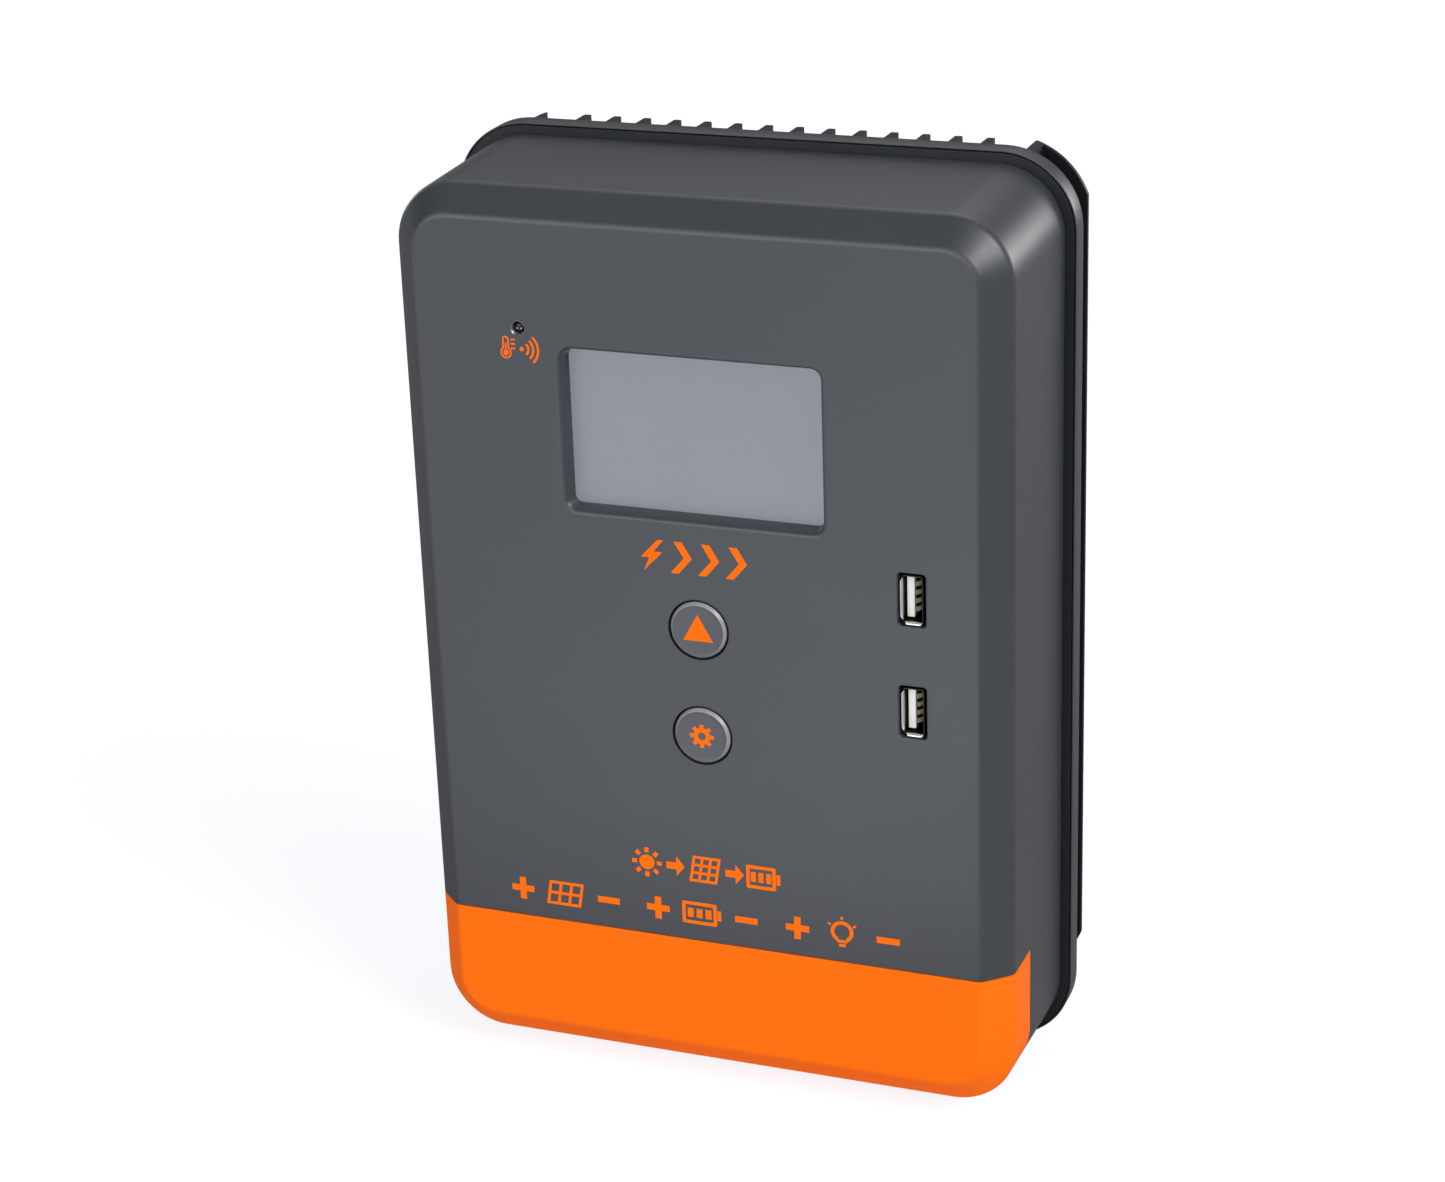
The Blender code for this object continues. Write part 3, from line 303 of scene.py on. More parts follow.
def make_materials():
    moulded("case_grey", GREY, rough=0.36, depth=5e-6, vary=0.03)
    moulded("cover_orange", ORANGE, rough=0.5, grain=2200, depth=5e-6, vary=0.01, spec=0.08,
            wear=0.04)
    moulded("button_grey", (0.062, 0.068, 0.081, 1), rough=0.36, grain=3200, depth=4e-6,
            vary=0.02)
    # a paler copy of the button grey: painted highlight for the sloping rim band
    moulded("button_rim", (0.255, 0.262, 0.285, 1), rough=0.36, grain=3200, depth=3e-6,
            vary=0.03, spec=0.6, wear=0)
    moulded("print_orange", ORANGE, rough=0.55, grain=5200, depth=3e-6, vary=0.02, spec=0.08,
            wear=0.0)
    metal("black_anodised", rgb(37, 37, 40), rough=0.42, stretch=(1, 1, 0.03), scale=1800,
          depth=1e-5, vary=0.2, metallic=0.55)
    moulded("rubber", rgb(23, 24, 27), rough=0.62, grain=1500, depth=2e-5, vary=0.15,
            wear=0.05, spec=0.35)
    metal("steel", rgb(205, 205, 208), rough=0.26, stretch=(1, 0.1, 1), vary=0.06)
    metal("shell_steel", rgb(246, 245, 241), rough=0.3, stretch=(1, 0.08, 1), scale=2600,
          vary=0.03, metallic=0.75)
    # a dark copy of shell_steel: painted shade for the inside of the USB ports
    metal("shell_inside", rgb(66, 64, 60), rough=0.36, stretch=(1, 0.08, 1), scale=2600)
    metal("gold", rgb(214, 204, 170), rough=0.36, stretch=(1, 0.1, 1), scale=3000, vary=0.1,
          metallic=0.45)
    metal("ring_steel", rgb(150, 152, 160), rough=0.3, scale=2400, vary=0.1, metallic=0.8)
    moulded("carrier_brown", rgb(58, 50, 34), rough=0.4, depth=5e-6, vary=0.1)
    metal("screw_zinc", rgb(176, 178, 182), rough=0.3, scale=2400, vary=0.12)
    moulded("black_plastic", rgb(30, 31, 33), rough=0.42, grain=2800, depth=6e-6, vary=0.12)
    moulded("bead_black", (0.006, 0.007, 0.010, 1), rough=0.16, grain=2400, depth=2e-6,
            vary=0.1, spec=0.3)
    moulded("white_plastic", rgb(238, 238, 234), rough=0.4, grain=2800, depth=5e-6,
            vary=0.02, wear=0)
    moulded("terminal_green", rgb(38, 40, 42), rough=0.46, grain=1400, depth=2e-5, vary=0.15)
    moulded("sleeve", rgb(28, 34, 62), rough=0.28, grain=900, depth=1e-5, vary=0.1)
    moulded("ferrite", rgb(158, 150, 78), rough=0.55, grain=700, depth=4e-5, vary=0.12)
    moulded("ribbon", rgb(178, 178, 182), rough=0.5)
    moulded("pad_blue", rgb(120, 152, 190), rough=0.75, grain=900, depth=4e-5)
    moulded("fuse_yellow", rgb(240, 190, 30), rough=0.18, vary=0.04, coat=0.5)
    metal("copper", rgb(200, 118, 66), rough=0.26, scale=900, vary=0.1)
    metal("brass", rgb(206, 176, 110), rough=0.3, scale=1500, vary=0.12)
    board_material()
    lcd_material()
    window_material()


# ----------------------------------------------------------- outlines in x, z
def deep(depth):
    """The y of a depth behind the front face."""
    return FACE_Y + depth


def at_depth(pairs, depth):
    return [(x, deep(depth), z) for x, z in pairs]


def rounded(corners, steps):
    """Round the inner corners of a polyline; each row is (first, second, radius)."""
    points = [Vector(corner[:2]) for corner in corners]
    out = [points[0]]
    for i in range(1, len(points) - 1):
        before, corner, after = points[i - 1:i + 2]
        radius = corners[i][2]
        to_before, to_after = (before - corner).normalized(), (after - corner).normalized()
        angle = acos(max(-1.0, min(1.0, to_before.dot(to_after))))
        if radius <= 0 or angle > pi - 0.01:
            out.append(corner)
            continue
        reach = min(radius / tan(angle / 2), (before - corner).length * 0.49,
                    (after - corner).length * 0.49)
        radius = reach * tan(angle / 2)
        centre = corner + (to_before + to_after).normalized() * (radius / sin(angle / 2))
        first = corner + to_before * reach - centre
        last = corner + to_after * reach - centre
        turn = first.angle(last)
        for j in range(steps + 1):
            part = j / steps
            out.append(centre + first * (sin((1 - part) * turn) / sin(turn))
                       + last * (sin(part * turn) / sin(turn)))
    out.append(points[-1])
    return out


def round_rect(x, z, half_x, half_z, radius, steps):
    radius = max(0.05, min(radius, half_x - 0.01, half_z - 0.01))
    out = []
    for side_x, side_z, start in ((1, 1, 0), (-1, 1, 90), (-1, -1, 180), (1, -1, 270)):
        for i in range(steps + 1):
            angle = radians(start + 90 * i / steps)
            out.append((x + side_x * (half_x - radius) + radius * cos(angle),
                        z + side_z * (half_z - radius) + radius * sin(angle)))
    return out


def circle(x, z, radius, steps=36):
    return [(x + radius * cos(2 * pi * i / steps), z + radius * sin(2 * pi * i / steps))
            for i in range(steps)]


# ---------------------------------------------------------------- mesh helpers
def bridge(mesh, a, b):
    """Faces between two rings, either of which may be a single point."""
    count = max(len(a), len(b))
    for i in range(count):
        j = (i + 1) % count
        if len(a) == 1:
            mesh.faces.new((a[0], b[j], b[i]))
        elif len(b) == 1:
            mesh.faces.new((a[i], a[j], b[0]))
        else:
            mesh.faces.new((a[i], a[j], b[j], b[i]))


def new_ring(mesh, points):
    return [mesh.verts.new(point) for point in points]


def sweep(mesh, stations, outline, closed=False):
    """Skin the rings that outline(station) gives, and return them."""
    rings = [new_ring(mesh, outline(station)) for station in stations]
    for a, b in zip(rings, rings[1:] + (rings[:1] if closed else [])):
        bridge(mesh, a, b)
    return rings


def fill(mesh, rings):
    """A flat face bounded by one ring, with the other rings as holes or islands."""
    edges = []
    for ring in rings:
        for pair in zip(ring, ring[1:] + ring[:1]):
            edges.append(mesh.edges.get(pair) or mesh.edges.new(pair))
    bmesh.ops.triangle_fill(mesh, use_beauty=True, edges=edges)


def lathe(mesh, profile, x, z, steps, closed=False):
    """Turn (radius, height) rows about an axis along y; height is forward of the face."""
    centre = Vector((x, deep(0), z))

    def outline(row):
        radius, height = row
        hub = centre + Vector((0, -height, 0))
        if radius < 1e-6:
            return [hub]
        angles = [2 * pi * i / steps for i in range(steps)]
        return [hub + Vector((cos(a), 0, sin(a))) * radius for a in angles]

    sweep(mesh, profile, outline, closed)


def add_box(mesh, x, depth, z, edge=0.0, segs=2, axis=None):
    """A box between pairs of limits; edge rounds all edges, or those along one axis."""
    verts = bmesh.ops.create_cube(mesh, size=1.0)["verts"]
    limits = (x, (deep(depth[0]), deep(depth[1])), z)
    for vert in verts:
        vert.co = Vector([low + (c + 0.5) * (high - low)
                          for c, (low, high) in zip(vert.co, limits)])
    if edge:
        edges = {e for vert in verts for e in vert.link_edges}
        if axis is not None:
            edges = {e for e in edges
                     if abs((e.verts[0].co - e.verts[1].co).normalized()[axis]) > 0.99}
        bmesh.ops.bevel(mesh, geom=list(edges), offset=edge, segments=segs, profile=0.5,
                        affect="EDGES", offset_type="OFFSET", clamp_overlap=True)


def add_rod(mesh, centre, turn, radius, length, steps):
    bmesh.ops.create_cone(mesh, cap_ends=True, segments=steps, radius1=radius, radius2=radius,
                          depth=length, matrix=Matrix.Translation(centre) @ turn)


def rod_y(mesh, x, z, radius, front, back, steps):
    """A rod between two depths."""
    a, b = deep(front), deep(back)
    add_rod(mesh, Vector((x, (a + b) / 2, z)), Matrix.Rotation(-pi / 2, 4, "X"), radius,
            abs(b - a), steps)


def rod_z(mesh, x, depth, radius, low, high, steps):
    """An upright rod."""
    add_rod(mesh, Vector((x, deep(depth), (low + high) / 2)), Matrix.Identity(4), radius,
            abs(high - low), steps)


def prism(mesh, pairs, plane, start, end):
    """A flat outline given a thickness along the axis its plane leaves out."""
    def place(u, v, w):
        return {"XZ": (u, w, v), "XY": (u, v, w), "YZ": (w, u, v)}[plane]

    low = new_ring(mesh, [place(u, v, start) for u, v in pairs])
    high = new_ring(mesh, [place(u, v, end) for u, v in pairs])
    mesh.faces.new(low)
    mesh.faces.new(high[::-1])
    bridge(mesh, low, high)


# ------------------------------------------------------- pieces and Booleans
def finish_piece(name, mesh, material, replaces=None, body=ROOT, bevel=0.0, segs=2):
    """Turn millimetre geometry into a piece that rides on a CAD body."""
    if isinstance(mesh, bmesh.types.BMesh):
        bmesh.ops.recalc_face_normals(mesh, faces=mesh.faces)
        data = bpy.data.meshes.new(name)
        mesh.to_mesh(data)
        mesh.free()
    else:
        data = mesh
        data.name = name
    data.transform(Matrix.Scale(MM, 4))
    data.shade_smooth()
    data.set_sharp_from_angle(angle=SMOOTH_ANGLE)
    data.materials.clear()
    data.materials.append(MATS[material])
    piece = bpy.data.objects.new(name, data)
    bpy.context.scene.collection.objects.link(piece)
    if bevel:
        edge = piece.modifiers.new("edge", "BEVEL")
        edge.width = bevel * MM
        edge.segments = segs
        edge.limit_method = "ANGLE"
        edge.angle_limit = radians(50)
        edge.harden_normals = False
        edge.miter_outer = "MITER_ARC"
    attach(piece, body)
    if replaces:
        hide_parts(replaces)
    return piece


def solid(name, draw):
    """A Boolean helper in millimetres, its mesh filled by draw(mesh)."""
    mesh = bmesh.new()
    draw(mesh)
    bmesh.ops.recalc_face_normals(mesh, faces=mesh.faces)
    data = bpy.data.meshes.new(name)
    mesh.to_mesh(data)
    mesh.free()
    helper = bpy.data.objects.new(name, data)
    WORK.objects.link(helper)
    return helper


def solid_box(name, x, depth, z):
    return solid(name, lambda mesh: add_box(mesh, x, depth, z))


def solve(helper, *steps):
    """Run (other, operation) Booleans on a helper and return the cleaned mesh."""
    for other, operation in steps:
        mod = helper.modifiers.new(other.name, "BOOLEAN")
        mod.operation = operation
        mod.solver = "EXACT"
        mod.object = other
    bpy.context.view_layer.update()
    graph = bpy.context.evaluated_depsgraph_get()
    data = bpy.data.meshes.new_from_object(helper.evaluated_get(graph))
    mesh = bmesh.new()
    mesh.from_mesh(data)
    bmesh.ops.remove_doubles(mesh, verts=mesh.verts, dist=0.002)
    bmesh.ops.dissolve_degenerate(mesh, edges=mesh.edges, dist=0.001)
    mesh.to_mesh(data)
    mesh.free()
    return data


def clear_work():
    for helper in list(WORK.objects):
        bpy.data.objects.remove(helper, do_unlink=True)


# --------------------------------------------------------------- front casing
def casing_ring(inset, depth, steps=18):
    """Casing outline at a depth; the sides flare slightly towards the back."""
    flare = max(0.0, (depth - CHAMFER_DEEP) / (COVER_BACK - CHAMFER_DEEP))
    half = SIDE_HALF - inset + 0.33 * flare
    high = SIDE_HIGH - inset + 1.64 * flare
    low = (SIDE_LOW + inset + min(max(inset, 0), CHAMFER_IN) / CHAMFER_IN * 0.65
           - 1.59 * flare)
    radius = SIDE_RADIUS - inset + 0.8 * flare
    return at_depth(round_rect(0, (high + low) / 2, half, (high - low) / 2, radius, steps),
                    depth)


# Sections of the shell wall. Columns: inset, depth, corner radius.
SHELL_PATH = [(13.0, 0, 0), (9.6, 0, 0), (CHAMFER_IN, 0, 3.4), (0, CHAMFER_DEEP, 3.4),
              (0, COVER_BACK, 0.4), (WALL, COVER_BACK, 0.4), (WALL, 7.9, 1.5),
              (8.29, WALL, 1.5), (10.5, WALL, 0), (13.0, WALL, 0)]
WINDOW_PATH = [(-2.6, 0, 0), (-0.15, 0, 1.5), (0.9, 4.6, 0.25), (-2.8, 4.6, 0),
               (-2.8, 6.9, 0), (-4.2, 6.9, 0.2), (-4.2, WALL, 0)]
USB_PATH = [(-1.1, 0, 0), (0, 0, 0.4), (0, 5.0, 0.2), (-1.4, 5.0, 0.2), (-1.4, WALL, 0)]
# Sections of the round openings. Columns: radius, depth, corner radius.
BUTTON_PATH = [(9.9, 0, 0), (8.62, 0, 0.2), (8.62, 6.0, 0.2), (10.4, 6.0, 0.2),
               (10.4, WALL, 0)]
SENSOR_PATH = [(3.1, 0, 0), (2.2, 0, 0.12), (2.2, WALL, 0)]


def draw_shell(mesh):
    """Cover and terminal cover in one closed skin, before they are parted."""
    rings = sweep(mesh, rounded(SHELL_PATH, 7), lambda p: casing_ring(p.x, p.y))
    front, inner = [rings[0]], [rings[-1]]

    def opening(corners, steps, outline):
        hole = sweep(mesh, rounded(corners, steps), lambda p: at_depth(outline(p), p.y))
        front.append(hole[0])
        inner.append(hole[-1])

    mid_x, mid_z = sum(WIN_X) / 2, sum(WIN_Z) / 2
    half_x, half_z = (WIN_X[1] - WIN_X[0]) / 2, (WIN_Z[1] - WIN_Z[0]) / 2
    opening(WINDOW_PATH, 6,
            lambda p: round_rect(mid_x, mid_z, half_x - p.x, half_z - p.x,
                                 3.0 - p.x if p.y < 4.55 else 1.6, 10))
    for z in BUTTON_Z.values():
        opening(BUTTON_PATH, 5, lambda p: circle(BUTTON_X, z, p.x, 72))
    for z in USB_Z.values():
        opening(USB_PATH, 4,
                lambda p: round_rect(USB_X, z, 3.8 - p.x, 7.4 - p.x, 1.0 - p.x, 8))
    opening(SENSOR_PATH, 4, lambda p: circle(SENSOR_X, SENSOR_Z, p.x, 40))
    fill(mesh, front)
    fill(mesh, inner)


def draw_screw_slots(mesh):
    """Round-ended slots for the two terminal cover screws."""
    for x in (-COVER_SCREW_X, COVER_SCREW_X):
        pairs = [(x - COVER_SCREW_R, deep(26))]
        pairs += [(x - COVER_SCREW_R * cos(pi * i / 12),
                   deep(COVER_SCREW_DEEP) - COVER_SCREW_R * sin(pi * i / 12))
                  for i in range(13)]
        pairs.append((x + COVER_SCREW_R, deep(26)))
        prism(mesh, pairs, "XY", 1.0, 8.4)


def draw_core(mesh):
    """A solid that ends inside the shell wall, to trim the partition."""
    path = rounded([(9, 1.2, 0), (7.9, 1.2, 1), (1.2, 7.3, 1), (1.2, COVER_BACK, 0)], 3)
    rings = sweep(mesh, path, lambda p: casing_ring(p.x, p.y, 10))
    mesh.faces.new(rings[0])
    mesh.faces.new(rings[-1])


def draw_bosses(mesh):
    for x, z in CASE_SCREWS:
        rod_y(mesh, x, z, 4.2, 1.6, COVER_BACK - 0.02, 28)
    for x, z in DISPLAY_POSTS:
        rod_y(mesh, x, z, 2.8, 1.2, 13.7, 24)


def draw_lip_and_tab(mesh):
    """Lip behind the seam, and a stepped tab along the foot."""
    add_box(mesh, (-70, 70), (2.8, 4.6), (41.0, 47.0))
    tab = [(9.0, TAB_LOW), (22.5, TAB_LOW), (22.5, TAB_STEP), (27.0, TAB_STEP),
           (27.0, TAB_HIGH), (9.0, TAB_HIGH)]
    prism(mesh, [(deep(depth), z) for depth, z in tab], "YZ", -66, 66)


def draw_cover_bores(mesh):
    for x, z in CASE_SCREWS:
        rod_y(mesh, x, z, 2.2, 36, 60, 20)
    for x, z in DISPLAY_POSTS[:2]:
        rod_y(mesh, x, z, 1.5, 6, 18, 16)
    for x in CABLE_X:
        rod_z(mesh, x, CABLE_DEEP, CABLE_R, -2, 9.0, 48)
    for x in (-COVER_SCREW_X, COVER_SCREW_X):
        rod_z(mesh, x, COVER_SCREW_DEEP, COVER_SCREW_R, 6, 12.5, 20)


def build_covers():
    """Part one shell into the grey cover and the orange terminal cover."""
    shell = solid("shell", draw_shell)
    low = solid_box("low", (-100, 100), (-5, SEAM_BACK - GAP / 2), (-5, SEAM - GAP / 2))
    low_wide = solid_box("low_wide", (-101, 101), (-6, SEAM_BACK + GAP / 2),
                         (-6, SEAM + GAP / 2))
    slots = solid("slots", draw_screw_slots)
    terminal = shell.copy()
    terminal.data = shell.data.copy()
    WORK.objects.link(terminal)
    terminal_data = solve(terminal, (low, "INTERSECT"), (slots, "DIFFERENCE"))

    core = solid("core", draw_core)
    partition = solid_box("partition_block", (-90, 90), (0, 43),
                          (SEAM + GAP / 2, PARTITION_TOP))
    partition_data = solve(partition, (core, "INTERSECT"))
    partition.modifiers.clear()
    partition.data = partition_data

    bosses = solid("bosses", draw_bosses)
    lip = solid("lip_and_tab", draw_lip_and_tab)
    bores = solid("bores", draw_cover_bores)
    cover_data = solve(shell, (low_wide, "DIFFERENCE"), (bosses, "UNION"),
                       (partition, "UNION"), (lip, "UNION"), (bores, "DIFFERENCE"))
    finish_piece("front_cover_shell", cover_data, "case_grey", "front_cover")
    finish_piece("terminal_cover_shell", terminal_data, "cover_orange",
                 "terminal_cover", "terminal_cover")
    clear_work()


# ------------------------------------------------------ rear frame and gasket
# Columns: inset, depth, corner radius.
FRAME_PATH = [(9.0, FRAME_BACK, 0), (0, FRAME_BACK, 0.9), (0, FRAME_FRONT, 0.35),
              (0.4, FRAME_FRONT, 0.15), (0.4, 54.2, 0), (6.4, 54.2, 0),
              (6.4, FRAME_FRONT, 0.1), (7.5, FRAME_FRONT, 0.3), (7.5, FRAME_FLOOR, 0),
              (10.0, FRAME_FLOOR, 0)]
GASKET_PATH = [(3.0, 53.9, 0), (0.7, 53.9, 0.1), (0.7, 52.95, 0.3), (6.1, 52.95, 0.3),
               (6.1, 53.9, 0.1), (3.0, 53.9, 0)]


def rim_ring(point):
    inset, depth = point
    return at_depth(round_rect(0, RIM_HEIGHT / 2, RIM_HALF - inset, RIM_HEIGHT / 2 - inset,
                               RIM_RADIUS - inset, 18), depth)


def draw_frame(mesh):
    """A tray with a gasket groove round its rim and a large opening."""
    rings = sweep(mesh, rounded(FRAME_PATH, 5), rim_ring)
    hole = sweep(mesh, (FRAME_BACK, FRAME_FLOOR),
                 lambda depth: at_depth(round_rect(0, 151, 58, 85, 6.0, 8), depth))
    fill(mesh, (rings[0], hole[0]))
    fill(mesh, (rings[-1], hole[1]))


def draw_frame_posts(mesh):
    for x, z in POWER_POSTS:
        rod_y(mesh, x, z, 3.5, 47.9, 58.5, 28)


def draw_frame_holes(mesh):
    for x, z in CASE_SCREWS:
        rod_y(mesh, x, z, 2.3, 50, 62, 24)
    for x, z in POWER_POSTS[:2]:
        rod_y(mesh, x, z, 1.5, 45, 58.0, 20)


def build_frame():
    tray = solid("frame", draw_frame)
    posts = solid("posts", draw_frame_posts)
    holes = solid("holes", draw_frame_holes)
    finish_piece("rear_frame_tray", solve(tray, (posts, "UNION"), (holes, "DIFFERENCE")),
                 "case_grey", "rear_frame")
    clear_work()


def build_gasket():
    mesh = bmesh.new()
    sweep(mesh, rounded(GASKET_PATH, 4)[:-1], rim_ring, closed=True)
    finish_piece("gasket_seal", mesh, "rubber", "gasket")


# ------------------------------------------------------------------ heat sink
def sink_section():
    """Extrusion section in x, y: web, fins with eased tips and rooted fillets, ears."""
    side = OUTER + FIN_T / 2
    web, root = deep(SINK_WEB), deep(SINK_WEB + 0.6)
    tip, back = deep(SINK_BACK - 0.35), deep(SINK_BACK)
    edge = [(side, deep(SINK_FRONT)), (side, deep(SINK_BACK - EAR_T)),
            (EAR_HALF - 0.2, deep(SINK_BACK - EAR_T)),
            (EAR_HALF, deep(SINK_BACK - EAR_T + 0.2)), (EAR_HALF, deep(SINK_BACK - 0.2)),
            (EAR_HALF - 0.2, back), (side - FIN_T + 0.3, back),
            (side - FIN_T, deep(SINK_BACK - 0.3)), (side - FIN_T, root),
            (side - FIN_T - 0.6, web)]
    fins = []
    for i in reversed(range(FINS)):
        x = (i - (FINS - 1) / 2) * PITCH
        high, low = x + FIN_T / 2, x - FIN_T / 2
        fins += [(high + 0.6, web), (high, root), (high - 0.1, tip), (high - 0.4, back),
                 (low + 0.4, back), (low + 0.1, tip), (low, root), (low - 0.6, web)]
    mirrored = [(-x, y) for x, y in reversed(edge)]
    return mirrored[-1:] + edge + fins + mirrored[:-1]


def draw_ear_waste(mesh):
    """What is cut off the four ear corners, along an arc."""
    start, end = Vector((EAR_CUT_X, 0.0)), Vector((EAR_HALF, EAR_CORNER))
    chord = end - start
    across = Vector((-chord.y, chord.x)).normalized()
    centre = (start + end) / 2 + across * sqrt(EAR_CUT_R ** 2 - (chord.length / 2) ** 2)
    first, last = start - centre, end - centre
    points = [centre + first.lerp(last, i / 20).normalized() * EAR_CUT_R for i in range(21)]
    points += [Vector((EAR_HALF + 4, EAR_CORNER)), Vector((EAR_HALF + 4, -4)),
               Vector((EAR_CUT_X, -4))]
    for sink_end, side_z in ((SINK_HIGH, 1), (SINK_LOW, -1)):
        for side_x in (1, -1):
            prism(mesh, [(side_x * p.x, sink_end - side_z * p.y) for p in points], "XZ",
                  deep(58), deep(80))


def draw_keyholes(mesh):
    """A round hole with a narrower round-ended slot above it, four times."""
    meet = atan2(sqrt(KEY_R ** 2 - KEY_SLOT_R ** 2), KEY_SLOT_R)
    start = pi - 2 * meet
    big = [meet + ((2 * pi - start) * i / 32 + start) for i in range(33)]
    small = [pi * i / 12 for i in range(13)]
    for x in (-KEY_X, KEY_X):
        for z in KEY_Z:
            pairs = [(x + KEY_R * cos(a), z + KEY_R * sin(a)) for a in big]
            pairs += [(x + KEY_SLOT_R * cos(a), z + KEY_RISE + KEY_SLOT_R * sin(a))
                      for a in small]
            prism(mesh, pairs, "XZ", deep(70), deep(80))


def draw_sink_bores(mesh):
    for x, z in CASE_SCREWS:
        rod_y(mesh, x, z, 2.3, 58, 66, 28)


def build_heat_sink():
    sink = solid("sink", lambda mesh: prism(mesh, sink_section(), "XY", SINK_LOW, SINK_HIGH))
    waste = solid("waste", draw_ear_waste)
    keys = solid("keys", draw_keyholes)
    holes = solid("holes", draw_sink_bores)
    data = solve(sink, (waste, "DIFFERENCE"), (keys, "DIFFERENCE"), (holes, "DIFFERENCE"))
    finish_piece("heat_sink_extrusion", data, "black_anodised",
                 "heat_sink")
    clear_work()


# --------------------------------------------------------- window and buttons
def build_window():
    mesh = bmesh.new()
    margin = 2.5
    add_box(mesh, (WIN_X[0] - margin, WIN_X[1] + margin), (4.9, 6.7),
            (WIN_Z[0] - margin, WIN_Z[1] + margin), edge=1.2, segs=6, axis=1)
    finish_piece("window_pane", mesh, "window", "display_window", bevel=0.2,
                 segs=3)


# Button rim, side and flange. Columns: radius, height, corner radius.
BUTTON_SIDE = [(6.9, 0.50, 0), (7.05, 0.585, 0.2), (7.35, 0.53, 1.0), (8.0, -0.34, 0.35),
               (8.22, -1.7, 0.5), (8.25, -6.3, 0), (9.7, -6.3, 0.3), (9.7, -7.5, 0.3),
               (2.5, -7.5, 0), (2.5, -8.3, 0.2), (0.6, -8.3, 0)]


def dish_rise(radius):
    """Height of the dished button top in front of the face."""
    return 0.30 + 0.16 * (radius / 6.6) ** 2


def build_button(key, z):
    mesh = bmesh.new()
    profile = [(radius, dish_rise(radius)) for radius in (0.0, 1.6, 3.3, 5.0, 6.0, 6.6)]
    lathe(mesh, profile + rounded(BUTTON_SIDE, 6) + [(0.0, -8.3)], BUTTON_X, z, 72)
    button = key + "_button"
    cap = finish_piece(button + "_cap", mesh, "button_grey", button, button)
    cap.data.materials.append(MATS["button_rim"])
    # the sloping band round the rim is painted paler, a painted highlight on the bevel
    for face in cap.data.polygons:
        middle = face.center / MM
        radius = ((middle.x - BUTTON_X) ** 2 + (middle.z - z) ** 2) ** 0.5
        if (7.22 < radius < 8.03 and deep(0) - 0.57 < middle.y < deep(0) + 0.36
                and abs(face.normal.y) < 0.97):
            face.material_index = 1


# ------------------------------------------------------------------ USB ports
# Two faces of the rolled tab. Columns: offset, depth, corner radius.
LIP_BACK = 1.5
LIP_A = [(0.0, LIP_BACK, 0), (0.0, 0.92, 0.5), (-0.34, 0.42, 0.25), (-0.62, 0.30, 0)]
LIP_B = [(-0.26, LIP_BACK, 0), (-0.26, 1.02, 0.5), (-0.50, 0.66, 0.2), (-0.70, 0.56, 0)]
# Two faces of a sprung contact. Columns: y, rise from the port's centre, corner radius.
CONTACT_TOP = [(deep(3.0), 0.24, 0), (deep(3.5), 0.75, 0.3), (deep(4.6), 1.55, 0.8),
               (deep(6.6), 0.95, 1.5), (deep(9.4), 0.28, 0)]
CONTACT_UNDER = [(deep(9.4), 0.10, 0), (deep(6.6), 0.78, 1.5), (deep(4.6), 1.37, 0.6),
                 (deep(3.6), 0.58, 0.3), (deep(3.2), 0.12, 0)]


def flared_lip(mesh, half, place, steps=14):
    """A rolled tab at the shell's mouth with rounded ends, put in place by place()."""
    section = rounded(LIP_A, 4) + rounded(LIP_B, 4)[::-1]
    stations = []
    for i in range(steps + 1):
        along = -1 + 2 * i / steps
        end = min(1.0, (1 - abs(along)) * half / 0.55)
        stations.append((along * half, sqrt(max(0.0, 1 - (1 - end) ** 2))))

    def outline(station):
        along, size = station
        return [place(offset * (0.35 + 0.65 * size),
                      depth + (LIP_BACK - depth) * (1 - size) * 0.35, along)
                for offset, depth in section]

    rings = sweep(mesh, stations, outline)
    mesh.faces.new(rings[0])
    mesh.faces.new(rings[-1][::-1])


